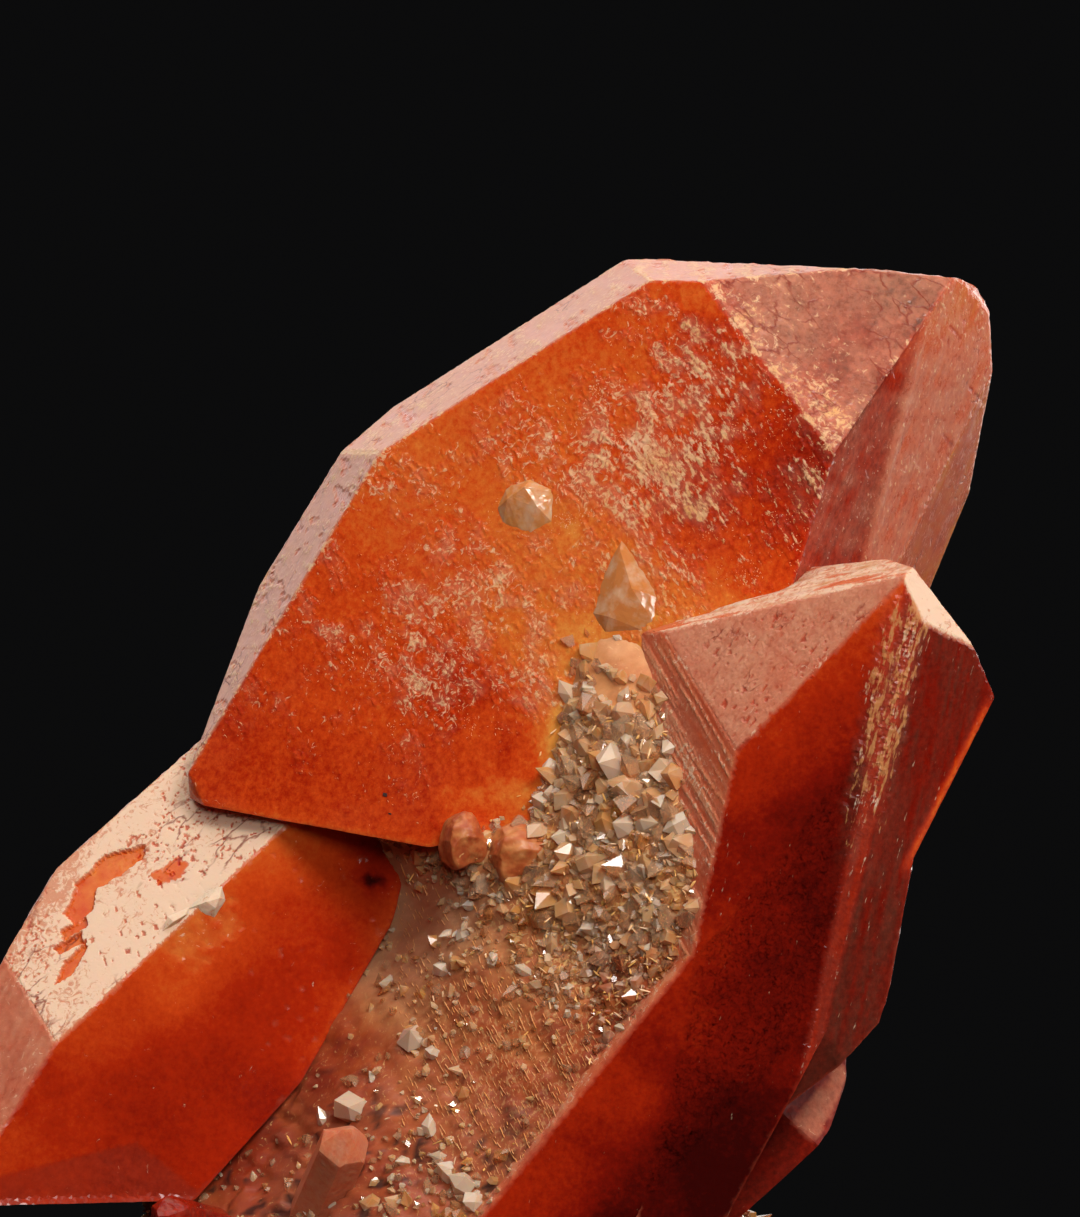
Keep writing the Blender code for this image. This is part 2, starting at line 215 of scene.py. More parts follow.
def lower_right_faces():
    ins = at((780, 1150), 0)
    front = facing((0.22, -0.90, -0.36), 790, 1119, -9)
    pale = fold(front, (790, 1119), (811, 1138), 46, ins)
    return {
        "front": front,
        "pale": pale,
        "rim_a": rim(pale, (846, 1040), (847, 1080), ins, 0.1),
        "rim_b": rim(pale, (847, 1080), (828, 1135), ins, 0.1),
        "rim_c": rim(front, (828, 1135), (805, 1158), ins, 0.15),
        "rim_d": rim(front, (805, 1158), (738, 1219), ins, 0.15),
        "inner": facing((-0.9, -0.3, -0.2), 660, 1200, -4),
        "rear": facing((0.02, 0.95, 0.2), 790, 1100, 9),
        "top": facing((-0.1, 0.1, 1), 820, 1035, -8),
    }


def pointed(tip, tip_depth, foot, foot_depth, width, turn=0.0, blunt=0.55):
    a, b = at(foot, foot_depth), at(tip, tip_depth)
    axis = unit(b - a)
    u = unit(np.cross(axis, (0.13, 1.0, 0.21)))
    v = np.cross(axis, u)
    faces = {"foot": (-axis, float(-axis @ a))}
    for k in range(6):
        t = math.radians(60 * k + turn)
        side = math.cos(t) * u + math.sin(t) * v
        faces["side_%d" % k] = (side, float(side @ a) + 0.5e-3 * width)
        slope = unit(math.cos(math.radians(51.8)) * axis + math.sin(math.radians(51.8)) * side)
        drop = 0.0004 * width * blunt * (0.35 if k % 2 else 1.0)
        faces["tip_%d" % k] = (slope, float(slope @ b) + (0.0 if k % 2 else drop * 0.3))
    return faces


def corners_of(faces):
    """Corners of the solid bounded by flat faces, and each face's ring of corners, counterclockwise from outside."""
    keys = list(faces)
    normals = np.array([faces[k][0] for k in keys])
    dists = np.array([faces[k][1] for k in keys])
    points, owners = [], []
    for trio in itertools.combinations(range(len(keys)), 3):
        m = normals[list(trio)]
        if abs(np.linalg.det(m)) < 1e-6:
            continue
        p = np.linalg.solve(m, dists[list(trio)])
        if (normals @ p - dists).max() > 1e-7:
            continue
        for q, own in zip(points, owners):
            if np.linalg.norm(q - p) < 2e-5:
                own.update(trio)
                break
        else:
            points.append(p)
            owners.append(set(trio))
    rings = {}
    for i, key in enumerate(keys):
        ring = [k for k, own in enumerate(owners) if i in own]
        if len(ring) < 3:
            continue
        n = normals[i]
        c = np.mean([points[k] for k in ring], axis=0)
        a = unit(np.cross(n, (0.3, 0.5, 0.81)))
        b = np.cross(n, a)
        ring.sort(key=lambda k: math.atan2((points[k] - c) @ b, (points[k] - c) @ a))
        rings[key] = ring
    return np.array(points), rings


# ================================================================ noise, in arrays
def hashed(i, j, k, seed):
    h = (i * 73856093) ^ (j * 19349663) ^ (k * 83492791) ^ (seed * 2654435761 + 12345)
    h = (h ^ (h >> 13)) & 0xFFFFFFFF
    h = (h * 1274126177) & 0xFFFFFFFF
    h = h ^ (h >> 16)
    return (h & 0xFFFFFF) / float(0xFFFFFF)


def vnoise(p, seed=0):
    """Smooth noise in -1..1 at points already in cells."""
    i = np.floor(p).astype(np.int64)
    f = p - i
    f = f * f * f * (f * (f * 6 - 15) + 10)
    out = 0.0
    for dx in (0, 1):
        wx = f[:, 0] if dx else 1 - f[:, 0]
        for dy in (0, 1):
            wy = f[:, 1] if dy else 1 - f[:, 1]
            for dz in (0, 1):
                wz = f[:, 2] if dz else 1 - f[:, 2]
                out = out + wx * wy * wz * hashed(i[:, 0] + dx, i[:, 1] + dy, i[:, 2] + dz, seed)
    return out * 2 - 1


def fbm(p, octaves=4, seed=0, gain=0.5):
    total, amp, norm = 0.0, 1.0, 0.0
    for k in range(octaves):
        total = total + amp * vnoise(p * (2.03**k) + 17.3 * k, seed + k)
        norm += amp
        amp *= gain
    return total / norm


def cells(p, seed=0):
    """Distances to the nearest and second nearest of jittered points, and a random number for the nearest, in 2D."""
    i = np.floor(p).astype(np.int64)
    best = np.full(len(p), 9.0)
    second = np.full(len(p), 9.0)
    tag = np.zeros(len(p))
    zero = np.zeros(len(p), np.int64)
    for dx in (-1, 0, 1):
        for dy in (-1, 0, 1):
            cx, cy = i[:, 0] + dx, i[:, 1] + dy
            qx = cx + 0.1 + 0.8 * hashed(cx, cy, zero, seed)
            qy = cy + 0.1 + 0.8 * hashed(cx, cy, zero + 1, seed)
            d = np.hypot(p[:, 0] - qx, p[:, 1] - qy)
            t = hashed(cx, cy, zero + 2, seed)
            near = d < best
            second = np.where(near, best, np.minimum(second, d))
            tag = np.where(near, t, tag)
            best = np.where(near, d, best)
    return best, second, tag


def step01(x, low, high):
    t = np.clip((x - low) / (high - low), 0, 1)
    return t * t * (3 - 2 * t)


def field(stops, reach=60.0):
    """A soft field over the sheet from a few given values: (column, row, value)."""
    s = np.array(stops, float)

    def value(c, r):
        w = 1.0 / ((c[:, None] - s[None, :, 0]) ** 2 + (r[:, None] - s[None, :, 1]) ** 2 + reach**2) ** 1.8
        return (w * s[None, :, 2]).sum(1) / w.sum(1)

    return value


def along(c, r, degrees, long, wide):
    """Sheet coordinates turned so that the first runs along a direction (degrees below the right), in cells."""
    a = math.radians(degrees)
    x = c * math.cos(a) + r * math.sin(a)
    y = -c * math.sin(a) + r * math.cos(a)
    return x / long, y / wide


def within(c, r, ring):
    """How far inside a convex outline on the sheet, clockwise, in squares; negative outside."""
    s = np.full(len(c), 1e9)
    for (x0, y0), (x1, y1) in zip(ring, ring[1:] + ring[:1]):
        s = np.minimum(s, ((x1 - x0) * (r - y0) - (y1 - y0) * (c - x0)) / math.hypot(x1 - x0, y1 - y0))
    return s


def flat3(x, y, z=0.0):
    return np.stack([x, y, np.zeros_like(x) + z], axis=1)


# ================================================================ meshes
def mesh_object(name, verts, faces, masks=None, smooth=False, loops_from=None):
    """A mesh from arrays; faces is an (N, 3) or (N, 4) array or a list of rings."""
    mesh = bpy.data.meshes.new(name)
    if isinstance(faces, np.ndarray):
        k = faces.shape[1]
        mesh.vertices.add(len(verts))
        mesh.vertices.foreach_set("co", np.asarray(verts, np.float32).ravel())
        mesh.loops.add(faces.size)
        mesh.loops.foreach_set("vertex_index", faces.astype(np.int32).ravel())
        mesh.polygons.add(len(faces))
        mesh.polygons.foreach_set("loop_start", np.arange(0, faces.size, k, dtype=np.int32))
        mesh.update(calc_edges=True)
    else:
        mesh.from_pydata([tuple(v) for v in verts], [], [list(map(int, f)) for f in faces])
    mesh.polygons.foreach_set("use_smooth", np.full(len(mesh.polygons), smooth))
    for key, values in (masks or {}).items():
        layer = mesh.attributes.new(key, "FLOAT", "POINT")
        layer.data.foreach_set("value", np.asarray(values, np.float32))
    mesh.update()
    ob = bpy.data.objects.new(name, mesh)
    bpy.context.scene.collection.objects.link(ob)
    return ob


def dense_solid(name, faces, step, paint, fine=None, chip=0.07, sharp=14.0, rounding=None):
    """A crystal with finely divided faces. paint(key, p, c, r, edge, n) gives masks and 'h', a height in mm."""
    points, rings = corners_of(faces)
    fine = fine or {}
    verts = [p for p in points]
    spread = [set() for _ in points]
    lines = {}
    for key, ring in rings.items():
        for a, b in zip(ring, ring[1:] + ring[:1]):
            e = (min(a, b), max(a, b))
            lines.setdefault(e, []).append(key)
    strings = {}
    for (a, b), keys in lines.items():
        s = min(min(fine.get(k, step) for k in keys), step)
        count = max(1, int(np.linalg.norm(points[b] - points[a]) / (s * MM)))
        ids = [a]
        for q in range(1, count):
            verts.append(points[a] + (points[b] - points[a]) * q / count)
            spread.append(set())
            ids.append(len(verts) - 1)
        ids.append(b)
        strings[(a, b)] = ids
    tris, interior = [], []
    names = ("deep", "haze", "fleck", "gold", "crack", "streak")
    masks = {m: [] for m in names}
    extra = []
    base = len(verts)
    edge_ids = {}
    for key, ring in rings.items():
        n = faces[key][0]
        u = unit(np.cross(n, (0.21, 0.33, 0.92)))
        v = np.cross(n, u)
        origin = points[ring[0]]
        border = []
        for a, b in zip(ring, ring[1:] + ring[:1]):
            ids = strings[(min(a, b), max(a, b))]
            border += (ids if ids[0] == a else ids[::-1])[:-1]
        flat = np.array([((verts[i] - origin) @ u, (verts[i] - origin) @ v) for i in border])
        s = fine.get(key, step) * MM
        lo, hi = flat.min(0), flat.max(0)
        gx = np.arange(lo[0], hi[0], s)
        gy = np.arange(lo[1], hi[1], s * 0.866)
        xx, yy = np.meshgrid(gx, gy)
        xx = xx + (np.arange(len(gy))[:, None] % 2) * s * 0.5
        q = np.stack([xx.ravel(), yy.ravel()], axis=1)
        jit = hashed(*(np.round(q / s * 7).astype(np.int64).T), np.zeros(len(q), np.int64), 5)
        jit2 = hashed(*(np.round(q / s * 7).astype(np.int64).T), np.ones(len(q), np.int64), 6)
        q = q + (np.stack([jit, jit2], axis=1) - 0.5) * s * 0.5
        dist = np.full(len(q), 1e9)
        corner = np.array([((points[i] - origin) @ u, (points[i] - origin) @ v) for i in ring])
        for i in range(len(corner)):
            a, b = corner[i], corner[(i + 1) % len(corner)]
            t = unit(b - a)
            dist = np.minimum(dist, (q - a) @ np.array([-t[1], t[0]]))
        keep = dist > 0.5 * s
        q, dist = q[keep], dist[keep]
        everything = np.vstack([flat, q])
        out = delaunay_2d_cdt([Vector(p) for p in everything], [], [list(range(len(border)))], 1, 1e-9)
        coords, _, found, origins = out[0], out[1], out[2], out[3]
        start = base + len(extra)
        remap = []
        for k, src in enumerate(origins):
            w = min(src) if src else None
            if w is None:
                co = coords[k]
                extra.append(origin + u * co[0] + v * co[1])
                remap.append(base + len(extra) - 1)
                interior.append((key, 1e-4))
            elif w < len(border):
                remap.append(border[w])
            else:
                extra.append(origin + u * q[w - len(border)][0] + v * q[w - len(border)][1])
                remap.append(base + len(extra) - 1)
                interior.append((key, dist[w - len(border)]))
        for f in found:
            ring3 = [remap[i] for i in f]
            if len(set(ring3)) == 3:
                tris.append(ring3)
        for i in border:
            spread[i].add(key)
    verts = np.array(verts + extra)
    count = len(verts)
    c, r = sheet_of(verts)
    height = np.zeros(count)
    data = {m: np.zeros(count) for m in names}
    push = np.zeros((count, 3))
    owner = np.array([k for k, _ in interior])
    reach = np.array([d for _, d in interior])
    for key in rings:
        ids = base + np.nonzero(owner == key)[0]
        edge_ids[key] = ids
        d = reach[owner == key] / MM
        if not len(ids):
            continue
        made = paint(key, verts[ids], c[ids], r[ids], d, faces[key][0])
        fade = step01(d, 0.0, 0.5)
        push[ids] = faces[key][0] * (made.get("h", np.zeros(len(ids))) * fade * MM)[:, None]
        for m in names:
            if m in made:
                data[m][ids] = made[m]
    # the edge points: each sits in by a little, as worn edges do, and takes the mean of its faces' masks
    for i in range(base):
        keys = sorted(spread[i])
        mean = unit(sum(faces[k][0] for k in keys))
        p = verts[i] / MM
        rough = noise.noise(Vector(p * 0.9)) + 0.6 * noise.noise(Vector(p * 2.7))
        push[i] = -mean * MM * chip * (0.55 + 0.9 * abs(rough)) * (1.4 if len(keys) > 2 else 1.0)
    border_ids = np.arange(base)
    share = np.zeros(base)
    total = {m: np.zeros(base) for m in names}
    for key in rings:
        ids = np.array([i for i in range(base) if key in spread[i]])
        if not len(ids):
            continue
        made = paint(key, verts[ids], c[ids], r[ids], np.full(len(ids), 0.02), faces[key][0])
        share[ids] += 1
        for m in names:
            if m in made:
                total[m][ids] += made[m]
    for m in names:
        data[m][:base] = total[m] / np.maximum(share, 1)
    verts = verts + push
    return mesh_object(name, verts, np.array(tris, np.int32), data, smooth=False), verts, np.array(tris)


# ================================================================ the crystals' skins
MAIN_DEEP = field([
    (430, 480, 0.24), (640, 320, 0.36), (560, 400, 0.28), (620, 430, 0.36), (780, 470, 0.60), (830, 450, 0.68), (700, 520, 0.48),
    (470, 690, 0.54), (260, 760, 0.50), (350, 600, 0.38), (300, 680, 0.42), (540, 560, 0.18), (560, 700, 0.20), (400, 822, 0.46),
    (240, 800, 0.48), (600, 600, 0.18), (500, 780, 0.42), (620, 640, 0.12), (740, 380, 0.46), (800, 400, 0.56), (450, 560, 0.34),
    (660, 620, 0.14), (555, 745, 0.22), (550, 665, 0.16), (520, 610, 0.22), (500, 740, 0.44),
], 34)
MAIN_FLECK = field([
    (430, 480, 0.42), (640, 320, 0.60), (600, 380, 0.58), (560, 440, 0.62), (660, 440, 0.85), (720, 380, 0.75), (780, 400, 0.6),
    (800, 480, 0.52), (740, 520, 0.62), (700, 560, 0.55), (470, 600, 0.72), (420, 680, 0.72), (520, 640, 0.66), (560, 690, 0.45),
    (650, 520, 0.72), (600, 500, 0.66), (560, 590, 0.62), (450, 640, 0.75), (380, 640, 0.62), (350, 600, 0.42), (280, 720, 0.34), (250, 780, 0.2), (350, 790, 0.25), (450, 790, 0.2), (540, 770, 0.05), (600, 600, 0.3),
    (540, 560, 0.35), (460, 410, 0.15), (560, 345, 0.12), (700, 300, 0.3), (400, 520, 0.3),
], 30)


def etch(c, r, degrees, size, seed):
    """Little etched grains, longer along one direction: 0 to 1."""
    x, y = along(c, r, degrees, size * 2.2, size)
    x = x + 0.45 * vnoise(flat3(c / size * 0.6, r / size * 0.6, 3.1), seed + 3)
    near, second, tag = cells(np.stack([x, y], axis=1), seed)
    return np.clip((second - near) * 1.6, 0, 1), tag


def paint_main(key, p, c, r, edge, n):
    low = fbm(flat3(c / 70, r / 70), 3, 11)
    fine = fbm(flat3(c / 9, r / 9), 3, 12)
    big = fbm(flat3(c / 160, r / 160), 2, 19)
    # Near the edges the specks thicken: partly worn edges, partly painted highlight along the edges.
    worn_and_highlight = np.exp(-edge / 0.16) * step01(fine, -0.5, 0.4)
    if key == "front":
        body, tag = etch(c, r, 52, 3.4, 21)
        patch = fbm(flat3(c / 30, r / 30), 3, 23)
        blot = fbm(flat3(c / 14, r / 14), 3, 29)
        right = step01(c + 0.2 * r, 800, 920)
        dense = MAIN_FLECK(c, r) + 0.40 * patch + 0.16 * low + 0.22 * blot - 0.12 * right
        hx, hy = along(c, r, 57, 55, 2.6)
        hair = step01(vnoise(flat3(hx, hy), 31), 0.30, 0.70) * right * step01(c, 680, 740)
        sx, sy = along(c, r, 42, 40, 3.2)
        ropes = step01(vnoise(flat3(sx, sy + 0.4 * low), 33), 0.48, 0.78) * step01(dense, 0.35, 0.7)
        grain = step01(dense + 0.5 * (tag - 0.5), 0.45, 0.7) * (0.3 + 0.7 * body)
        h = 0.07 * grain + 0.015 * fine + 0.05 * low + 0.05 * hair + 0.04 * ropes
        sx, sy = along(c, r, -32, 300, 24)
        h = h + 0.03 * step01(vnoise(flat3(sx, sy + 0.5 * low), 37), -0.1, 0.1)
        calm = 1 - 0.7 * step01(620 - c - 0.4 * (r - 400), -40, 80)
        deep = MAIN_DEEP(c, r) + (0.08 * low + 0.12 * patch + 0.08 * blot) * calm
        # Lighter orange along the lower edges and in two spots near the face's lower right: painted glow of light
        # shining through the thin crystal.
        rim_glow = np.exp(-edge / 0.6) * (r > 740)
        painted_glow = np.exp(-(((c - 566) / 26.0) ** 2 + ((r - 715) / 70.0) ** 2))
        ledge_glow = np.exp(-(((c - 512) / 46.0) ** 2 + ((r - 796 - 5 * fine) / 13.0) ** 2)) + np.exp(-(((c - 560 - 4 * fine) / 13.0) ** 2 + ((r - 742) / 34.0) ** 2))
        deep = deep * (1 - 0.35 * rim_glow) - 0.12 * painted_glow - 0.22 * np.clip(ledge_glow, 0, 1)
        haze = 0.03 * step01(low, -0.2, 0.7) + 0.36 * step01(dense, 0.40, 0.95) * step01(blot, -0.4, 0.4)
        haze = haze * (1 - 0.35 * right) + 0.04 * step01(c, 690, 800) * step01(r, 380, 470) * step01(patch, -0.3, 0.4)
        fleck = np.clip(dense * 0.92 + 0.18 * hair + 0.14 * ropes, 0, 1.0) + 0.5 * worn_and_highlight * (r < 700)
        gold = 0.50 + 0.4 * step01(c, 420, 640) * step01(r, 420, 560) + 0.3 * blot
        return {"h": h, "deep": deep, "haze": haze, "fleck": fleck, "gold": np.clip(gold, 0, 1), "streak": np.clip(0.12 + 0.6 * step01(c + 0.5 * r, 800, 940), 0, 1)}
    # These faces turn to the light above: their pale pink haze and cream specks are partly frosted surface and partly
    # painted sheen, a reflection of that light.
    if key in ("upper", "left", "top"):
        x, y = along(c, r, 28 if key != "left" else -58, 10, 5)
        pit = step01(fbm(flat3(c / 8, r / 8), 3, 43), 0.30, 0.5)
        dirt = step01(fbm(flat3(c / 22, r / 22), 3, 45), 0.1, 0.5)
        h = 0.03 * fine + 0.03 * big - 0.07 * pit
        haze = 0.84 + 0.14 * low - 0.30 * pit - 0.16 * dirt
        if key == "left":
            haze = haze - 0.10 + 0.10 * big
        if key == "top":
            haze = haze - 0.16
        return {"h": h, "deep": 0.44 + 0.1 * low, "haze": haze, "fleck": 0.56 + 0.45 * fine + 0.6 * worn_and_highlight + (0.10 if key == "top" else 0.0), "gold": 0.15 + 0.2 * pit, "crack": 0.62 + 0.4 * low, "streak": 0.5 + 0 * c}
    if key == "tip":
        body, tag = etch(c, r, 128, 3.4, 51)
        patch = fbm(flat3(c / 20, r / 20), 3, 53)
        line = 1.45 * (c - 701) - (r - 281)
        band = np.exp(-np.abs(line) / 75.0) + 0.9 * np.exp(-(((c - 818) / 34.0) ** 2 + ((r - 408) / 40.0) ** 2))
        gilt = np.clip(band + 0.55 * patch, 0, 1)
        cx, cy = along(c, r, -48, 34, 3.0)
        slit = step01(vnoise(flat3(cx, cy + 0.3 * low), 57), 0.66, 0.80) * (step01(c, 835, 880) * 0.8 + 0.2)
        haze = 0.40 + 0.14 * low + 0.18 * patch - 0.2 * slit
        return {
            "h": 0.06 * body * gilt + 0.02 * fine + 0.03 * low - 0.04 * slit,
            "deep": 0.82 + 0.12 * low - 0.22 * gilt + 0.15 * slit,
            "haze": haze,
            "fleck": 0.30 + 0.42 * gilt + 0.30 * fine + 0.4 * worn_and_highlight,
            "gold": 0.35 + 0.5 * gilt,
            "crack": 0.68 + 0.3 * step01(c, 840, 900) + 0.2 * low,
            "streak": 0.35 + 0 * c,
        }
    if key in ("right", "edge"):
        hx, hy = along(c, r, 112, 70, 5.0)
        streak = fbm(flat3(hx, hy), 3, 71)
        across = (c - 931) + 0.26 * (r - 310)
        ridge = np.exp(-(((across + 2) / 4.0) ** 2)) * step01(r, 320, 380) * step01(540 - r, 0, 60)
        inner = step01(-across, -2, 6)
        top = step01(-r, -400, -290)
        patch = fbm(flat3(c / 16, r / 16), 3, 73)
        cx, cy = along(c, r, 48, 26, 2.4)
        slit = step01(vnoise(flat3(cx, cy), 77), 0.66, 0.80) * step01(c, 925, 960)
        h = 0.045 * streak + 0.015 * fine + 0.10 * ridge - 0.16 * inner * (1 - top) - 0.02 * slit
        if key == "right":
            haze = 0.50 + 0.14 * streak + 0.18 * patch - 0.34 * inner * (1 - 0.7 * top) - 0.16 * top + 0.08 * low + 0.2 * ridge - 0.25 * slit
            deep = 0.46 - 0.22 * top + 0.16 * inner + 0.1 * streak + 0.2 * slit
            fleck = 0.32 + 0.16 * streak + 0.12 * patch - 0.10 * inner + 0.12 * top + 0.5 * worn_and_highlight
        else:
            haze = 0.26 + 0.14 * streak + 0.25 * top
            deep = 0.30 - 0.16 * top + 0.22 * streak + 0.12 * patch - 0.16 * np.exp(-edge / 0.5)
            fleck = 0.20 + 0.16 * streak + 0.4 * worn_and_highlight
        return {"h": h, "deep": deep, "haze": haze, "fleck": fleck, "gold": 0.5 + 0.3 * streak, "crack": 0.40 + 0.3 * step01(c, 930, 990) * step01(r, 350, 420), "streak": 0.9 + 0 * c}
    body, tag = etch(c, r, 40, 7.0, 81)
    lump = fbm(p / MM * 0.35, 3, 83)
    h = 0.12 * body + 0.10 * lump
    if key.startswith("under"):
        return {"h": h, "deep": 0.4 + 0.2 * lump, "haze": 0.1 + 0.1 * lump, "fleck": 0.1 + 0 * c}
    return {"h": h, "deep": 0.46 + 0.2 * lump, "haze": 0.42 + 0.5 * lump, "fleck": 0.25 + 0.3 * lump, "crack": 0.4 + 0.5 * lump, "gold": 0.3 + 0 * c}


# Darkness of the right crystal's front; the darkest stops low down, from row 1120 to the foot, are painted shade under
# the crystal.
RIGHT_DEEP_AND_SHADE = field([
    (895, 600, 0.40), (850, 660, 0.52), (780, 740, 0.54), (860, 720, 0.68), (790, 820, 0.80), (740, 850, 0.68), (820, 900, 0.86),
    (705, 960, 0.60), (760, 980, 0.82), (690, 1020, 0.58), (740, 1060, 0.80), (620, 1100, 0.54), (560, 1170, 0.52), (650, 1170, 0.86), (690, 1180, 1.1), (740, 1120, 1.0), (620, 1216, 1.0),
    (500, 1210, 0.54), (840, 800, 0.84), (720, 1000, 0.76), (580, 1180, 0.60), (750, 780, 0.56),
], 34)


def paint_right(key, p, c, r, edge, n):
    low = fbm(flat3(c / 60, r / 60), 3, 111)
    fine = fbm(flat3(c / 9, r / 9), 3, 112)
    patch = fbm(flat3(c / 26, r / 26), 3, 114)
    # Near the edges the specks thicken: partly worn edges, partly painted highlight along the edges.
    worn_and_highlight = np.exp(-edge / 0.16) * step01(fine, -0.5, 0.4)
    # a rough golden band runs down both sides of the edge between the front and the side
    beside = c - (905 - 0.212 * (r - 575)) + 5 * low
    ragged = beside + 9 * fine
    band = step01(ragged, -26 + 14 * step01(r, 700, 900), -6) * step01(38 - ragged, 0, 16) * step01(910 - r, 0, 190) * step01(r, 575, 615)
    sx, sy = along(c, r, 101, 30, 3.0)
    comb = fbm(flat3(sx, sy), 3, 117)
    if key in ("front", "strip", "side"):
        hx, hy = along(c, r, 102, 60, 3.4)
        streak = fbm(flat3(hx, hy), 3, 161)
        body, tag = etch(c, r, 104, 3.4, 121)
        rough = band * (0.62 + 0.38 * step01(comb, -0.3, 0.3))
        if key == "front":
            left = step01(740 - (c + 0.18 * (r - 750)), -60, 5) * step01(r, 760, 860) * step01(1000 - r, 0, 60)
            dense = 0.20 * left + 0.20 * step01(r, 610, 660) * step01(770 - r, 0, 90) * step01(patch, -0.3, 0.4) + 0.04
            deep = RIGHT_DEEP_AND_SHADE(c, r) + 0.05 * low + 0.05 * patch - 0.10 * np.exp(-edge / 0.5) * (r < 760)
            return {
                "h": 0.010 * fine + 0.03 * low + 0.12 * rough * body + 0.05 * rough,
                "deep": deep + 0.10 * band,
                "haze": 0.10 * rough,
                "fleck": dense + 0.92 * rough + 0.10 * fine + 0.45 * worn_and_highlight * (r < 760),
                "gold": 0.8 + 2.4 * band,
                "streak": 0.9 + 0 * c,
            }
        # A lighter orange band on the side near its right edge: painted glow of light shining through.
        painted_glow = step01((c - 993) * 0.9 + (r - 697) * 0.46, -11, -1) * step01(r, 690, 715) * step01(880 - r, 0, 30)
        low_part = step01(r, 840, 960)
        deep = 0.78 + 0.1 * streak + 0.05 * low + 0.08 * low_part if key == "side" else 0.66 + 0.1 * streak
        return {
            "h": 0.05 * streak + 0.12 * rough * body + 0.05 * rough,
            "deep": deep - 0.52 * painted_glow,
            "haze": 0.03 + 0.05 * streak + 0.03 * low + 0.02 * low_part + 0.12 * rough,
            "fleck": 0.08 + 0.88 * rough + 0.12 * streak + 0.3 * worn_and_highlight,
            "gold": 0.6 + 2.4 * band,
            "streak": 1.0 + 0 * c,
        }
    # The bevel turns to the light above: its pale pink haze and cream specks are partly frosted surface and partly
    # painted sheen, a reflection of that light.
    if key == "bevel":
        hx, hy = along(c, r, -13, 70, 3.0)
        streak = fbm(flat3(hx, hy), 3, 137)
        deep_line = step01(streak, 0.10, 0.35)
        return {
            "h": 0.03 * fine + 0.22 * streak - 0.12 * deep_line,
            "deep": 0.30 + 0 * c,
            "haze": 0.86 - 0.5 * deep_line,
            "fleck": 1.05 - 1.0 * deep_line + 0.25 * fine,
            "gold": 0.15 + 0.8 * step01(np.abs(streak), 0.12, 0.4),
            "crack": 0.25 + 0 * c,
            "streak": 0.1 + 0 * c,
        }
    # The shoulder's pale pinkish grey is partly frosted surface and partly painted sheen from the light above.
    if key == "shoulder":
        body, tag = etch(c, r, 128, 3.4, 131)
        middle = np.exp(-(((c - 800) / 70.0) ** 2 + ((r - 640) / 45.0) ** 2))
        spot = step01(fbm(flat3(c / 30, r / 20, 2.2), 2, 135), -0.1, 0.3)
        tx, ty = along(c, r, 128, 5, 2.4)
        red = step01(vnoise(flat3(tx, ty), 133), 0.50, 0.70) * np.clip(0.35 + 0.65 * spot, 0, 1) * step01(r, 596, 625)
        right = step01(c + 0.97 * (r - 750) - 735, -40, -4)
        cx, cy = along(c, r, -46, 26, 5)
        slit = step01(vnoise(flat3(cx, cy), 139), 0.55, 0.68) * right
        return {
            "h": 0.03 * body + 0.02 * fine - 0.06 * red - 0.06 * slit,
            "deep": 0.54 + 0.1 * low + 0.1 * slit,
            "haze": 0.70 + 0.16 * low + 0.12 * patch - 0.5 * red - 0.4 * slit,
            "fleck": 0.24 + 0.20 * spot * middle + 0.16 * fine + 0.8 * worn_and_highlight,
            "gold": 0.15 + 0.5 * middle,
            "crack": 0.30 + 0.3 * spot,
            "streak": 0.3 + 0 * c,
        }
    # This facet is painted nearly white all over: a painted reflection of the light above.
    if key == "white":
        return {"h": 0.03 * fine, "deep": 0.3 + 0 * c, "haze": 1.1 + 0.1 * low, "fleck": 1.35 + 0.3 * patch, "gold": 0 * c, "crack": 0.3 + 0 * c}
    if key in ("flank", "valley"):
        hx, hy = along(c, r, 60, 70, 3.2)
        streak = fbm(flat3(hx, hy), 3, 151)
        ridge = step01(streak, 0.0, 0.4)
        return {"h": 0.07 * ridge + 0.02 * fine, "deep": 0.40 + 0.14 * low - 0.16 * ridge, "haze": 0.44 + 0.4 * streak, "fleck": 0.46 + 0.55 * streak, "gold": 0.6 + 0.3 * low, "crack": -1.0 + 0 * c, "streak": 0 * c}
    body, tag = etch(c, r, 40, 7.0, 171)
    lump = fbm(p / MM * 0.35, 3, 173)
    # The underside is painted nearly black red: painted shade.
    if key == "under":
        upper_part = step01(c - 0.6 * (1100 - r), 700, 790)
        return {"h": 0.03 * lump + 0.02 * fine, "deep": 1.02 + 0.08 * lump - 0.12 * upper_part, "haze": 0.05 * upper_part, "fleck": 0.02 + 0.08 * upper_part}
    rear = 1.0 if key in ("rear", "inner") else 0.25
    return {"h": 0.06 * body + 0.06 * lump, "deep": 0.64 + 0.14 * lump, "haze": rear * (0.36 + 0.4 * lump), "fleck": rear * (0.22 + 0.3 * lump), "crack": 0.3 + 0.5 * lump, "gold": 0.3 + 0 * c}


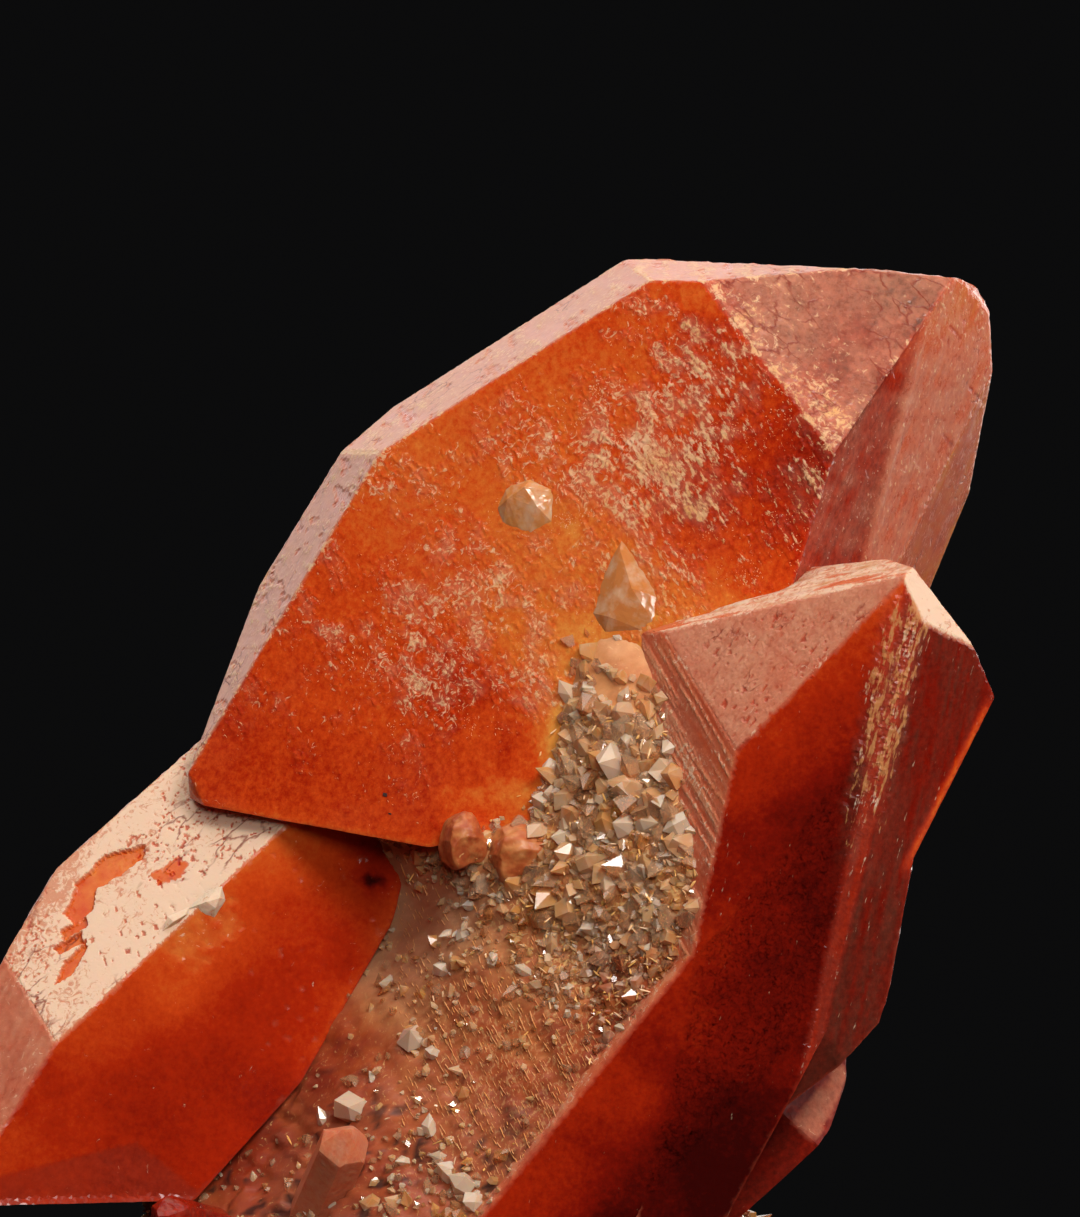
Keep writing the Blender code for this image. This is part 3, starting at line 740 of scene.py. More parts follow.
def paint_left(key, p, c, r, edge, n):
    low = fbm(flat3(c / 60, r / 60), 3, 211)
    fine = fbm(flat3(c / 9, r / 9), 3, 212)
    patch = fbm(flat3(c / 22, r / 22), 3, 214)
    # Near the edges the specks thicken: partly worn edges, partly painted highlight along the edges.
    worn_and_highlight = np.exp(-edge / 0.16) * step01(fine, -0.5, 0.4)
    if key == "front":
        deep = LEFT_DEEP(c, r) + 0.05 + 0.06 * low
        deep = deep - 0.14 * np.exp(-edge / 0.5) * (r < 1060)
        scar = step01(vnoise(flat3(c / 7, r / 5), 221), 0.86, 0.93) * (c > 250)
        stain = np.clip(np.exp(-(((c - 372) / 14.0) ** 2 + ((r - 880) / 8.0) ** 2)) * (0.6 + 1.6 * fine), 0, 1)
        broken = step01(within(c, r, [(160, 935), (176, 918), (232, 900), (240, 930), (206, 962), (176, 968)]) + 9 * fine + 8 * patch, -6, 10)
        # a shallow dent at the foot, under two lines that meet in a point
        down_a = (r - 1143) * 0.972 - (136 - c) * 0.236
        down_b = (r - 1143) * 0.776 - (c - 136) * 0.630
        dent = np.clip(np.minimum(down_a, down_b), 0, 60)
        inside = step01(np.minimum(down_a, down_b), -1, 3)
        h = 0.015 * fine + 0.04 * low - 0.05 * scar - 0.05 * stain - 0.10 * broken * (0.5 + fine) - 0.012 * dent * (1 + 0.2 * fine)
        return {
            "h": h,
            "deep": deep + 0.5 * stain - 0.12 * broken * (1 + fine) + inside * 0.06,
            "haze": 0.10 * scar + 0.04 * inside + 0.03 * broken * (1 + fine),
            "fleck": 0.05 + 0.14 * fine + 0.2 * scar + 0.22 * broken,
            "gold": 0.5 + 0 * c,
            "streak": 0 * c,
        }
    if key == "top":
        # smooth pale plates parted by thin cracks, with a few broken gaps that show the orange body; the plates' pale
        # cream and pink is partly frosted surface and partly painted sheen from the light above
        x2, y2 = along(c, r, -42, 44, 30)
        wob = 0.45 * vnoise(flat3(c / 12, r / 12), 231) + 0.2 * vnoise(flat3(c / 4, r / 4), 233)
        n2, s2, t2 = cells(np.stack([x2 + wob, y2 - wob], axis=1), 235)
        cracked = np.clip(step01(within(c, r, [(120, 850), (185, 745), (300, 745), (300, 850), (180, 885)]), -10, 10) + step01(60 - c, 0, 30) + 0.10, 0, 1)
        gap2 = step01(0.06 - (s2 - n2) + 0.05 * fine, 0.0, 0.05) * cracked
        jag = 4.5 * fine + 2.0 * vnoise(flat3(c / 3.0, r / 3.0), 239)
        shapes = (
            [(72, 886), (102, 856), (144, 845), (142, 858), (118, 876), (92, 892)],
            [(62, 914), (78, 880), (94, 888), (90, 912), (72, 926)],
            [(58, 932), (84, 916), (86, 926), (62, 942)],
            [(50, 950), (80, 930), (82, 944), (58, 956)],
            [(60, 968), (84, 938), (86, 948), (70, 976), (52, 986)],
        )
        hole = np.zeros(len(c))
        for ring_ in shapes:
            hole = np.maximum(hole, step01(within(c, r, ring_) + 0.35 * jag, -0.5, 1.5))
        grain_ = np.maximum(step01(within(c, r, [(150, 876), (172, 858), (186, 866), (180, 878), (156, 886)]) + 0.8 * jag, -1, 2), hole)
        tick_x, tick_y = along(c, r, 62, 9, 3.4)
        tick = step01(vnoise(flat3(tick_x, tick_y), 241), 0.62, 0.74) * step01(within(c, r, [(90, 930), (150, 868), (190, 900), (120, 985), (84, 960)]), -8, 8)
        foot_part = step01(within(c, r, [(0, 965), (60, 900), (85, 980), (70, 1050), (40, 1050)]), -12, 16)
        rosy = step01(within(c, r, [(0, 940), (40, 860), (170, 740), (190, 760), (120, 850), (60, 905), (20, 980)]), -14, 14)
        ends = np.clip(np.exp(-edge / 0.5) * (r < 900) * 0.5 + 0.3 * foot_part, 0, 1)
        cut_ = np.clip(gap2 + 0.9 * tick, 0, 1)
        h = -0.07 * gap2 + 0.04 * (t2 - 0.5) * cracked - 0.34 * hole - 0.05 * tick + 0.010 * fine
        return {
            "h": h,
            "deep": 0.22 + 0.12 * low + 0.35 * cut_ + 0.02 * hole + 0.10 * hole * fine,
            "haze": 1.10 - 0.75 * cut_ - 1.2 * grain_ - 0.1 * ends,
            "fleck": 1.30 + 0.35 * low + 0.25 * patch - 0.80 * rosy - 1.1 * cut_ - 1.6 * grain_ - 0.25 * foot_part + 0.10 * fine,
            "gold": 0.02 + 0.9 * hole,
            "crack": 0.30 + 0.45 * cracked + 0.20 * low + 0.2 * foot_part,
            "streak": 0.1 + 0 * c,
        }
    if key == "end":
        streak = fbm(flat3(*along(c, r, 118, 40, 4)), 3, 243)
        return {"h": 0.04 * fine + 0.03 * streak, "deep": 0.50 + 0.1 * low, "haze": 0.54 + 0.2 * streak + 0.1 * patch, "fleck": 0.36 + 0.2 * streak + 0.1 * fine, "gold": 0.3 + 0 * c, "crack": 0.3 + 0 * c, "streak": 0.2 + 0 * c}
    lump = fbm(p / MM * 0.35, 3, 253)
    if key in ("base", "root_a", "root_b", "root_c"):
        return {"h": 0.05 * lump, "deep": 0.66 + 0.1 * lump, "haze": 0.06 + 0.1 * lump, "fleck": 0.1 + 0 * c}
    body, tag = etch(c, r, 40, 7.0, 251)
    return {"h": 0.08 * body + 0.08 * lump, "deep": 0.45 + 0.15 * lump, "haze": 0.45 + 0.5 * lump, "fleck": 0.3 + 0.3 * lump, "crack": 0.4 + 0.5 * lump}


LEFT_DEEP = field([
    (300, 862, 0.30), (240, 915, 0.30), (170, 985, 0.30), (110, 1045, 0.36), (60, 1095, 0.48), (220, 1050, 0.54),
    (300, 985, 0.50), (350, 900, 0.42), (380, 870, 0.50), (335, 960, 0.50), (260, 1105, 0.58), (150, 1120, 0.56), (390, 930, 0.34), (290, 840, 0.22),
    (210, 960, 0.34), (310, 1060, 0.44), (240, 1140, 0.50), (350, 1000, 0.40), (130, 1090, 0.54), (290, 920, 0.44), (250, 1000, 0.54), (170, 1060, 0.52), (30, 1160, 0.44),
], 26)


def paint_lower_right(key, p, c, r, edge, n):
    low = fbm(flat3(c / 40, r / 40), 3, 311)
    fine = fbm(flat3(c / 7, r / 7), 3, 312)
    if key == "pale":
        worn_part = step01(within(c, r, [(791, 1122), (842, 1062), (848, 1075), (839, 1098), (817, 1136), (806, 1140)]) + 2 * fine, -2, 2)
        return {"h": 0.05 * fine, "deep": 0.76 + 0.1 * fine - 0.14 * worn_part, "haze": 0.03 + 0.44 * worn_part, "fleck": 0.04 + 0.22 * worn_part + 0.2 * fine * worn_part, "gold": 0.6 + 0 * c}
    return {"h": 0.03 * fine, "deep": 0.78 + 0.1 * low, "haze": 0.03 + 0.03 * low, "fleck": 0.05 + 0.05 * fine, "gold": 0.3 + 0 * c}


def paint_small(deep, haze):
    def paint(key, p, c, r, edge, n):
        fine = fbm(p / MM * 3.0, 3, 411)
        return {"h": 0.03 * fine, "deep": deep + 0.08 * fine, "haze": haze + 0.2 * fine, "fleck": 0.2 * step01(fine, 0.1, 0.5)}

    return paint


# ================================================================ the rock
ROCK_FRONT = [
    (600, 590, -4.6), (540, 690, -4.2), (480, 780, -3.0), (680, 600, -6.0), (420, 800, -1.0), (300, 760, 6.0),
    (605, 665, -8.7), (655, 690, -10.6), (595, 745, -10.0), (650, 760, -12.0), (590, 800, -10.2), (645, 830, -13.4),
    (700, 800, -16.0), (560, 830, -9.0), (520, 850, -7.2), (470, 860, -5.6),
    (600, 870, -11.6), (650, 890, -14.8), (695, 905, -17.6), (740, 850, -17.6),
    (560, 930, -9.6), (610, 960, -12.8), (655, 985, -15.9), (720, 970, -15.6),
    (500, 940, -6.8), (455, 940, -3.6), (430, 900, 1.6), (404, 895, 6.0), (377, 960, 6.2), (440, 1010, -3.8),
    (495, 1040, -7.6), (550, 1060, -11.4), (595, 1080, -14.8), (660, 1080, -13.4), (322, 1035, 6.1), (302, 1088, 5.9),
    (390, 1050, -0.8), (440, 1110, -6.4), (500, 1130, -10.8), (545, 1140, -14.2), (262, 1152, 5.4), (215, 1194, 4.8),
    (340, 870, 9.0), (320, 950, 9.0), (270, 1030, 8.6), (225, 1110, 8.0), (170, 1170, 7.4), (260, 900, 9.0),
    (345, 1110, -1.0), (380, 1180, -5.6), (440, 1200, -10.0), (480, 1215, -12.8), (305, 1180, -0.6), (250, 1212, 1.2),
    (165, 1222, 3.6), (146, 1270, 0.0), (205, 1290, -5.0), (300, 1268, -6.4), (400, 1258, -12.0), (500, 1256, -16.0),
    (600, 1256, -17.6), (690, 1256, -16.0), (745, 1240, -12.0), (640, 1180, -12.6), (720, 1180, -8.0), (790, 1290, -12.0),
    (140, 1377, -4.0), (240, 1377, -11.0), (400, 1377, -16.0), (600, 1377, -18.4), (720, 1377, -16.0), (800, 1377, -8.0),
    (560, 1310, -18.6), (300, 1330, -11.0), (700, 1320, -17.4),
]
ROCK_SIDES = np.array([
    (625, 520, 740), (660, 440, 800), (720, 340, 860), (780, 262, 880), (850, 214, 884), (930, 196, 868), (1010, 186, 838),
    (1080, 180, 790), (1150, 168, 745), (1217, 152, 734), (1260, 134, 792), (1305, 118, 810), (1345, 112, 822), (1377, 118, 812),
], float)


def surface_through(samples):
    p = np.array([(c / 100, r / 100) for c, r, _ in samples])
    h = np.array([d for _, _, d in samples])
    k = len(p)

    def spline(dist):
        return np.where(dist > 0, dist**2 * np.log(np.maximum(dist, 1e-9)), 0)

    a = np.zeros((k + 3, k + 3))
    a[:k, :k] = spline(np.linalg.norm(p[:, None] - p[None], axis=2)) + 0.02 * np.eye(k)
    a[:k, k:] = np.c_[np.ones(k), p]
    a[k:, :k] = a[:k, k:].T
    w = np.linalg.solve(a, np.r_[h, 0, 0, 0])

    def height(c, r):
        q = np.stack([c / 100, r / 100], axis=1)
        return spline(np.linalg.norm(q[:, None] - p[None], axis=2)) @ w[:k] + w[k] + w[k + 1] * q[:, 0] + w[k + 2] * q[:, 1]

    return height


rock_front = surface_through(ROCK_FRONT)


def rock_point(row, t, is_front):
    """A point of the bare rock: rows of the sheet, t from -1 (left) to 1 (right)."""
    left = np.interp(row, ROCK_SIDES[:, 0], ROCK_SIDES[:, 1])
    right = np.interp(row, ROCK_SIDES[:, 0], ROCK_SIDES[:, 2])
    mid, wide = (left + right) / 2, (right - left) / 2
    column = mid + wide * np.sin(t * np.pi / 2)
    up = (1377 - row) / (1377 - 625)
    flank = 12.0
    rear = ROCK_BACK - 2.0 * (1 - up) ** 2 - 13.0 * np.maximum(0.0, up - 0.62) / 0.38
    crown = (1 - np.abs(np.sin(t * np.pi / 2)) ** 4) ** 0.5
    aim = np.where(is_front, np.minimum(rock_front(column, row), 9.5), rear)
    depth = flank + (aim - flank) * crown
    return np.stack([(column - MID_COLUMN) * SQUARE, depth * MM, BENCH + (LOW_ROW - row) * SQUARE], axis=1), column


SLOPE = field([
    (520, 1060, 1.0), (470, 1040, 0.9), (440, 1000, 0.8), (500, 1100, 0.9), (560, 1040, 0.8), (430, 920, 0.62), (415, 880, 0.55), (390, 1060, 0.4), (600, 900, 0.0),
    (640, 700, 0.0), (350, 1120, 0.15), (650, 1000, 0.1), (450, 1150, 0.5), (560, 1090, 0.9), (700, 850, 0.7), (710, 760, 0.8), (300, 1190, 0.0), (500, 950, 0.6),
], 26)
# Around columns 410 to 430, rows 910 to 950, the rock is painted lighter, with little darkness and much pale haze:
# painted light on a region in shade beside the left crystal. The light ground under the valley points is partly the
# rock's amber colour and partly painted light that makes up for the points' shade.
ROCK_DEEP_AND_PAINTED_LIGHT = field([
    (640, 665, 0.20), (610, 690, 0.18), (600, 740, 0.12), (630, 820, 0.16), (620, 900, 0.20), (640, 980, 0.50), (640, 1040, 0.56), (680, 1000, 0.55),
    (520, 1060, 0.47), (470, 1000, 0.46), (430, 910, 0.02), (410, 950, 0.05), (400, 1000, 0.2), (350, 1050, 0.58), (240, 1160, 0.64), (300, 1190, 0.50),
    (520, 850, 0.24), (480, 1130, 0.48), (400, 1180, 0.55), (560, 960, 0.26), (200, 1200, 0.5), (500, 900, 0.28), (560, 1140, 0.50), (440, 1060, 0.46),
], 30)
# The high values near columns 410 to 430, rows 910 to 950, are painted light.
ROCK_HAZE_AND_PAINTED_LIGHT = field([
    (640, 665, 0.10), (600, 740, 0.15), (630, 900, 0.16), (640, 1020, 0.02), (520, 1060, 0.10), (470, 1000, 0.16), (430, 910, 1.1), (410, 950, 1.0),
    (350, 1050, 0.05), (240, 1160, 0.05), (300, 1190, 0.3), (520, 850, 0.2), (480, 1130, 0.3), (400, 1180, 0.2), (560, 960, 0.25), (440, 1110, 0.25),
], 28)
DRUSE = field([
    (600, 720, 1.0), (640, 730, 1.0), (600, 800, 1.0), (650, 860, 1.0), (620, 900, 1.0), (570, 900, 1.0), (640, 960, 1.0), (680, 960, 1.0), (540, 870, 0.9),
    (640, 1030, 0.9), (560, 960, 0.75), (520, 940, 0.45), (500, 1000, 0.10), (560, 1040, 0.12), (480, 1080, 0.05), (640, 675, 0.14), (600, 690, 0.24), (470, 900, 0.3), (480, 940, 0.3),
    (630, 655, 0.04), (430, 920, 0.0), (400, 1100, 0.15), (300, 1180, 0.1), (350, 1040, 0.03), (540, 1110, 0.03), (450, 1170, 0.34), (710, 820, 0.3), (560, 860, 0.8), (700, 900, 0.5), (420, 980, 0.2),
], 15)


def build_rock():
    rows_n, half = 210, 150
    rows = np.linspace(1377, 625, rows_n)
    ring = 2 * half
    t_front = -1 + 2 * (np.arange(half) + 0.5) / half
    t = np.concatenate([t_front, t_front[::-1]])
    front = np.arange(ring) < half
    rr = np.repeat(rows, ring)
    tt = np.tile(t, rows_n)
    ff = np.tile(front, rows_n)
    p, column = rock_point(rr, tt, ff)
    # outward directions from the grid
    g = p.reshape(rows_n, ring, 3)
    du = np.roll(g, -1, axis=1) - np.roll(g, 1, axis=1)
    dv = np.gradient(g, axis=0)
    nn = np.cross(du, dv)
    nn /= np.maximum(np.linalg.norm(nn, axis=2, keepdims=True), 1e-12)
    nn = nn.reshape(-1, 3)
    c, r = column, rr
    q = p / MM
    slope = SLOPE(c, r) * ff
    x, y = along(c, r, 63, 70, 4.6)
    stria = fbm(flat3(x, y), 4, 511)
    x, y = along(c, r, 63, 26, 9.0)
    blades = 1 - np.abs(vnoise(flat3(x, y), 513))
    lumps = fbm(q * 0.16, 4, 515)
    crag = 1 - np.abs(fbm(q * 0.33, 4, 517)) * 2.4
    fine = fbm(q * 1.6, 3, 519)
    smooth_top = ff * step01(720 - r, 0, 40)
    h = 0.9 * lumps * np.where(ff, 0.45, 1.3) + 0.35 * crag * np.where(ff, 0.35, 1.0) + 0.13 * fine * (1 - 0.3 * smooth_top)
    # broken crystal faces, low down and on the left
    bx, by = along(c, r, 35, 44, 30)
    wob = 0.3 * vnoise(flat3(c / 30, r / 30), 527)
    b1, b2, tile = cells(np.stack([bx + wob, by - wob], axis=1), 529)
    tilt_x = np.cos(tile * 40.0) * (bx - np.floor(bx) - 0.5) + np.sin(tile * 40.0) * (by - np.floor(by) - 0.5)
    blocky = ff * np.clip(step01(r, 930, 1010) * (1 - slope) + 0.15, 0, 1) * (1 - smooth_top)
    h = h + blocky * (0.55 * (tile - 0.5) + 0.45 * tilt_x)
    h = h * (1 - 0.5 * slope) + slope * (0.22 * stria + 0.30 * (blades - 0.5))
    base_row = r > 1376.9
    h = np.where(base_row, np.minimum(h, 0.0), h)
    push = nn * (h * MM)[:, None]
    push[:, 2] = np.where(r > 1370, 0.0, push[:, 2])
    v = p + push
    v[:, 2] = np.maximum(v[:, 2], 0.0)
    left_edge = np.interp(r, [640, 750, 800, 870, 940, 999, 1020, 1085, 1140, 1217, 1260], [690, 735, 728, 715, 700, 684, 660, 600, 540, 480, 470])
    n0, d0 = RIGHT_FRONT
    sheet_y = (d0 - n0[0] * v[:, 0] - n0[2] * v[:, 2]) / n0[1]
    behind = step01(c - left_edge, -4.0, 10.0) * ff * (r < 1262)
    v[:, 1] = np.where(behind > 0, np.maximum(v[:, 1], sheet_y + 0.0016 * behind), v[:, 1])
    gold = np.where(ff, 0.22 + 0.50 * step01(DRUSE(c, r), 0.3, 0.8), 0.25 + 0.3 * lumps) + 0.15 * fine
    streak = np.where(ff, np.clip(slope * 0.74 + 0.06, 0, 1), 0.1) + 0.1 * stria
    deep = np.where(ff, ROCK_DEEP_AND_PAINTED_LIGHT(c, r), 0.48 + 0.25 * lumps) + 0.08 * fine + 0.06 * stria * slope + 0.10 * (tile - 0.5) * ff
    haze = np.where(ff, ROCK_HAZE_AND_PAINTED_LIGHT(c, r) + 0.10 * smooth_top, 0.40 + 0.3 * crag) + 0.12 * fine
    dark = step01(fbm(q * 0.9 + 40, 3, 523), 0.22, 0.42) * np.where(ff, step01(r, 1040, 1140) * step01(560 - c, 0, 80) * 0.8 + 0.12, 0.35)
    quads = []
    idx = np.arange(rows_n * ring).reshape(rows_n, ring)
    a, b = idx[:-1], np.roll(idx, -1, axis=1)[:-1]
    cc, dd = np.roll(idx, -1, axis=1)[1:], idx[1:]
    quads = np.stack([a, b, cc, dd], axis=-1).reshape(-1, 4)
    tris = np.concatenate([quads[:, [0, 1, 2]], quads[:, [0, 2, 3]]])
    # caps
    low = g[0].mean(0)
    low[2] = 0.0
    high = v.reshape(rows_n, ring, 3)[-1].mean(0) + np.array([0, 0, 0.0008])
    v = np.vstack([v, low, high])
    li, hi = len(v) - 2, len(v) - 1
    first, last = idx[0], idx[-1]
    cap0 = np.stack([np.full(ring, li), np.roll(first, -1), first], axis=1)
    cap1 = np.stack([np.full(ring, hi), last, np.roll(last, -1)], axis=1)
    tris = np.concatenate([tris, cap0, cap1])
    masks = {"streak": np.r_[streak, 0, 0], "deep": np.r_[deep, 0.5, 0.5], "haze": np.r_[haze, 0.4, 0.4], "fleck": np.r_[dark, 0, 0], "gold": np.r_[gold, 0, 0]}
    ob = mesh_object("rock_surface", v, tris, masks, smooth=True)
    return ob, v[:-2].reshape(rows_n, ring, 3), nn.reshape(rows_n, ring, 3), c.reshape(rows_n, ring), r.reshape(rows_n, ring)


# ================================================================ small crystals in numbers
def quartz_points(name, spots, axes, sizes, seed, facet=None, rise=0.25, sink=0.45, masks=None):
    """Many small quartz points with three broad tip faces each, joined in one mesh."""
    rng = np.random.default_rng(seed)
    k = len(spots)
    axis = axes / np.linalg.norm(axes, axis=1, keepdims=True)
    ref = rng.normal(0, 1, (k, 3)) if facet is None else facet
    u = ref - axis * (ref * axis).sum(1, keepdims=True)
    u /= np.linalg.norm(u, axis=1, keepdims=True)
    w = np.cross(axis, u)
    ang = np.arange(6) * math.pi / 3
    ring = np.stack([np.cos(ang)[None, :] * np.ones((k, 1)), np.sin(ang)[None, :] * rng.uniform(0.7, 1.1, (k, 1))], axis=2)
    ring = ring * rng.uniform(0.72, 1.18, (k, 6))[:, :, None]
    radius = sizes * 0.5
    flat = (u[:, None, :] * ring[:, :, :1] + w[:, None, :] * ring[:, :, 1:]) * radius[:, None, None]
    foot = spots - axis * (sizes * sink)[:, None]
    stem = sizes * (sink + rise * rng.uniform(-0.4, 1.0, k))
    slope = 1.27 * rng.uniform(0.8, 1.5, k)
    uneven = rng.uniform(0.05, 0.5, (k, 1))
    high = np.where(np.arange(6)[None, :] % 2 == 0, 0.0, uneven) * slope[:, None] * radius[:, None]
    high = high + rng.normal(0, 0.14, (k, 6)) * radius[:, None]
    top = foot[:, None, :] + flat + axis[:, None, :] * (stem[:, None] + high)[:, :, None]
    low = foot[:, None, :] + flat * 0.9
    aside = (u * rng.normal(0, 0.28, (k, 1)) + w * rng.normal(0, 0.28, (k, 1))) * radius[:, None]
    tip = foot + axis * (stem + slope * radius)[:, None] + aside
    v = np.concatenate([low, top, tip[:, None, :], foot[:, None, :]], axis=1)
    one = []
    for i in range(6):
        j = (i + 1) % 6
        one += [(i, j, 6 + j), (i, 6 + j, 6 + i), (6 + i, 6 + j, 12), (13, j, i)]
    one = np.array(one)
    tris = (one[None] + (np.arange(k) * 14)[:, None, None]).reshape(-1, 3)
    v[:, :, 2] = np.maximum(v[:, :, 2], 0.0)
    made = {m: np.repeat(x, 14) for m, x in (masks or {}).items()}
    return mesh_object(name, v.reshape(-1, 3), tris, made, smooth=False)


def flakes(name, spots, normals, along_dir, longs, wides, thick, seed, tilt=0.12, masks=None):
    """Thin angular chips lying on a face, joined in one mesh."""
    rng = np.random.default_rng(seed)
    k = len(spots)
    n = normals + rng.normal(0, tilt, (k, 3))
    n /= np.linalg.norm(n, axis=1, keepdims=True)
    d = along_dir - n * (along_dir * n).sum(1, keepdims=True)
    d /= np.linalg.norm(d, axis=1, keepdims=True)
    e = np.cross(n, d)
    ang = np.array([0.0, 1.15, 2.2, 3.2, 4.3, 5.3])
    rad = rng.uniform(0.6, 1.0, (k, 6))
    x = np.cos(ang)[None] * rad * longs[:, None]
    y = np.sin(ang)[None] * rad * wides[:, None]
    rim_ = spots[:, None] + d[:, None] * x[:, :, None] + e[:, None] * y[:, :, None]
    low = rim_ - n[:, None] * (thick * 1.2)[:, None, None]
    top = spots[:, None] + d[:, None] * (x * 0.7)[:, :, None] + e[:, None] * (y * 0.7)[:, :, None] + n[:, None] * thick[:, None, None]
    v = np.concatenate([low, top], axis=1)
    one = []
    for i in range(6):
        j = (i + 1) % 6
        one += [(i, j, 6 + j), (i, 6 + j, 6 + i)]
    one += [(6, 7, 8), (6, 8, 9), (6, 9, 10), (6, 10, 11)]
    one += [(2, 1, 0), (3, 2, 0), (4, 3, 0), (5, 4, 0)]
    one = np.array(one)
    tris = (one[None] + (np.arange(k) * 12)[:, None, None]).reshape(-1, 3)
    made = {m: np.repeat(x_, 12) for m, x_ in (masks or {}).items()}
    return mesh_object(name, v.reshape(-1, 3), tris, made, smooth=False)


def lump(name, centre, depth, radii, seed, rough=0.12):
    """A rounded grain with a fine surface."""
    import bmesh

    bm = bmesh.new()
    bmesh.ops.create_icosphere(bm, subdivisions=6, radius=1.0)
    d = np.array([v.co[:] for v in bm.verts])
    d /= np.linalg.norm(d, axis=1, keepdims=True)
    faces = np.array([[v.index for v in f.verts] for f in bm.faces])
    bm.free()
    c = at(centre, depth)
    cut = np.random.default_rng(seed).normal(0, 1, (9, 3))
    cut /= np.linalg.norm(cut, axis=1, keepdims=True)
    flat = np.min(np.where(d @ cut.T > 0.05, 0.80 / np.maximum(d @ cut.T, 1e-3), 9.0), axis=1)
    d = d * np.minimum(1.0, flat)[:, None]
    big = np.array([noise.noise(Vector(x) * 1.7 + Vector(c) * 900.0) for x in d])
    r = 1.0 + rough * big + 0.03 * fbm(d * 5, 3, seed)
    v = c + d * (np.array(radii) * MM)[None] * r[:, None]
    small = fbm(d * 3 + 9, 3, seed + 5)
    return v, faces, small


# ================================================================ materials
def new_material(name):
    mat = bpy.data.materials.new(name)
    mat.use_nodes = True
    tree = mat.node_tree
    return mat, tree, tree.nodes["Principled BSDF"]


def node(tree, kind, **values):
    n = tree.nodes.new(kind)
    for key, value in values.items():
        if key.startswith("_"):
            setattr(n, key[1:], value)
        else:
            n.inputs[key.replace("__", " ")].default_value = value
    return n


def math_node(tree, op, a, b=None, clamp=False):
    n = tree.nodes.new("ShaderNodeMath")
    n.operation = op
    n.use_clamp = clamp
    for i, x in enumerate((a, b)):
        if x is None:
            continue
        if isinstance(x, (int, float)):
            n.inputs[i].default_value = x
        else:
            tree.links.new(x, n.inputs[i])
    return n.outputs[0]


def mix_colour(tree, factor, a, b, blend="MIX"):
    n = tree.nodes.new("ShaderNodeMix")
    n.data_type = "RGBA"
    n.blend_type = blend
    n.clamp_factor = True
    for socket, x in ((n.inputs[0], factor), (n.inputs[6], a), (n.inputs[7], b)):
        if isinstance(x, (int, float)):
            socket.default_value = x
        elif isinstance(x, tuple):
            socket.default_value = (*x, 1.0)
        else:
            tree.links.new(x, socket)
    return n.outputs[2]


def ramp(tree, factor, stops, interpolation="LINEAR"):
    n = tree.nodes.new("ShaderNodeValToRGB")
    n.color_ramp.interpolation = interpolation
    el = n.color_ramp.elements
    while len(el) < len(stops):
        el.new(0.5)
    for e, (pos, col) in zip(el, stops):
        e.position = pos
        e.color = (*col, 1.0) if len(col) == 3 else col
    tree.links.new(factor, n.inputs[0])
    return n.outputs[0]


def attribute(tree, name):
    n = tree.nodes.new("ShaderNodeAttribute")
    n.attribute_name = name
    return n.outputs["Fac"]


def noise_tex(tree, scale, detail=3.0, rough=0.55, stretch=None, turn=None, distort=0.0):
    coord = tree.nodes.new("ShaderNodeTexCoord")
    out = coord.outputs["Object"]
    if stretch or turn:
        m = tree.nodes.new("ShaderNodeMapping")
        if turn:
            m.inputs["Rotation"].default_value = turn
        if stretch:
            m.inputs["Scale"].default_value = stretch
        tree.links.new(out, m.inputs["Vector"])
        out = m.outputs["Vector"]
    n = tree.nodes.new("ShaderNodeTexNoise")
    n.inputs["Scale"].default_value = scale
    n.inputs["Detail"].default_value = detail
    n.inputs["Roughness"].default_value = rough
    n.inputs["Distortion"].default_value = distort
    tree.links.new(out, n.inputs["Vector"])
    return n.outputs[0]


HEMATOID = [
    (0.00, (0.72, 0.270, 0.050)),
    (0.18, (0.66, 0.140, 0.020)),
    (0.36, (0.58, 0.058, 0.007)),
    (0.52, (0.40, 0.020, 0.0030)),
    (0.70, (0.21, 0.0065, 0.0020)),
    (0.88, (0.085, 0.0030, 0.0015)),
    (1.00, (0.040, 0.0018, 0.0012)),
]
# PINK is the pale haze colour and CREAM the pale speck colour: partly etched, frosted surface and partly painted sheen
# where faces turn to the light.
PINK = (0.61, 0.265, 0.155)
CREAM = (0.80, 0.58, 0.42)
GOLD = (0.72, 0.37, 0.12)
SEAM = (0.20, 0.020, 0.008)


def aligned(tree, direction, stretch):
    """Object coordinates in which everything is drawn out along one direction."""
    coord = tree.nodes.new("ShaderNodeTexCoord")
    m = tree.nodes.new("ShaderNodeMapping")
    m.vector_type = "TEXTURE"
    m.inputs["Rotation"].default_value = Vector(direction).to_track_quat("Z", "Y").to_euler()
    m.inputs["Scale"].default_value = (1.0, 1.0, stretch)
    tree.links.new(coord.outputs["Object"], m.inputs["Vector"])
    return m.outputs["Vector"]


def noise_on(tree, vector, scale, detail=2.0, rough=0.6, distort=0.0):
    n = tree.nodes.new("ShaderNodeTexNoise")
    n.inputs["Scale"].default_value = scale
    n.inputs["Detail"].default_value = detail
    n.inputs["Roughness"].default_value = rough
    n.inputs["Distortion"].default_value = distort
    tree.links.new(vector, n.inputs["Vector"])
    return n.outputs[0]


def linear(tree, x, gain, offset, clamp=False):
    n = tree.nodes.new("ShaderNodeMath")
    n.operation = "MULTIPLY_ADD"
    n.use_clamp = clamp
    tree.links.new(x, n.inputs[0])
    n.inputs[1].default_value = gain
    n.inputs[2].default_value = offset
    return n.outputs[0]


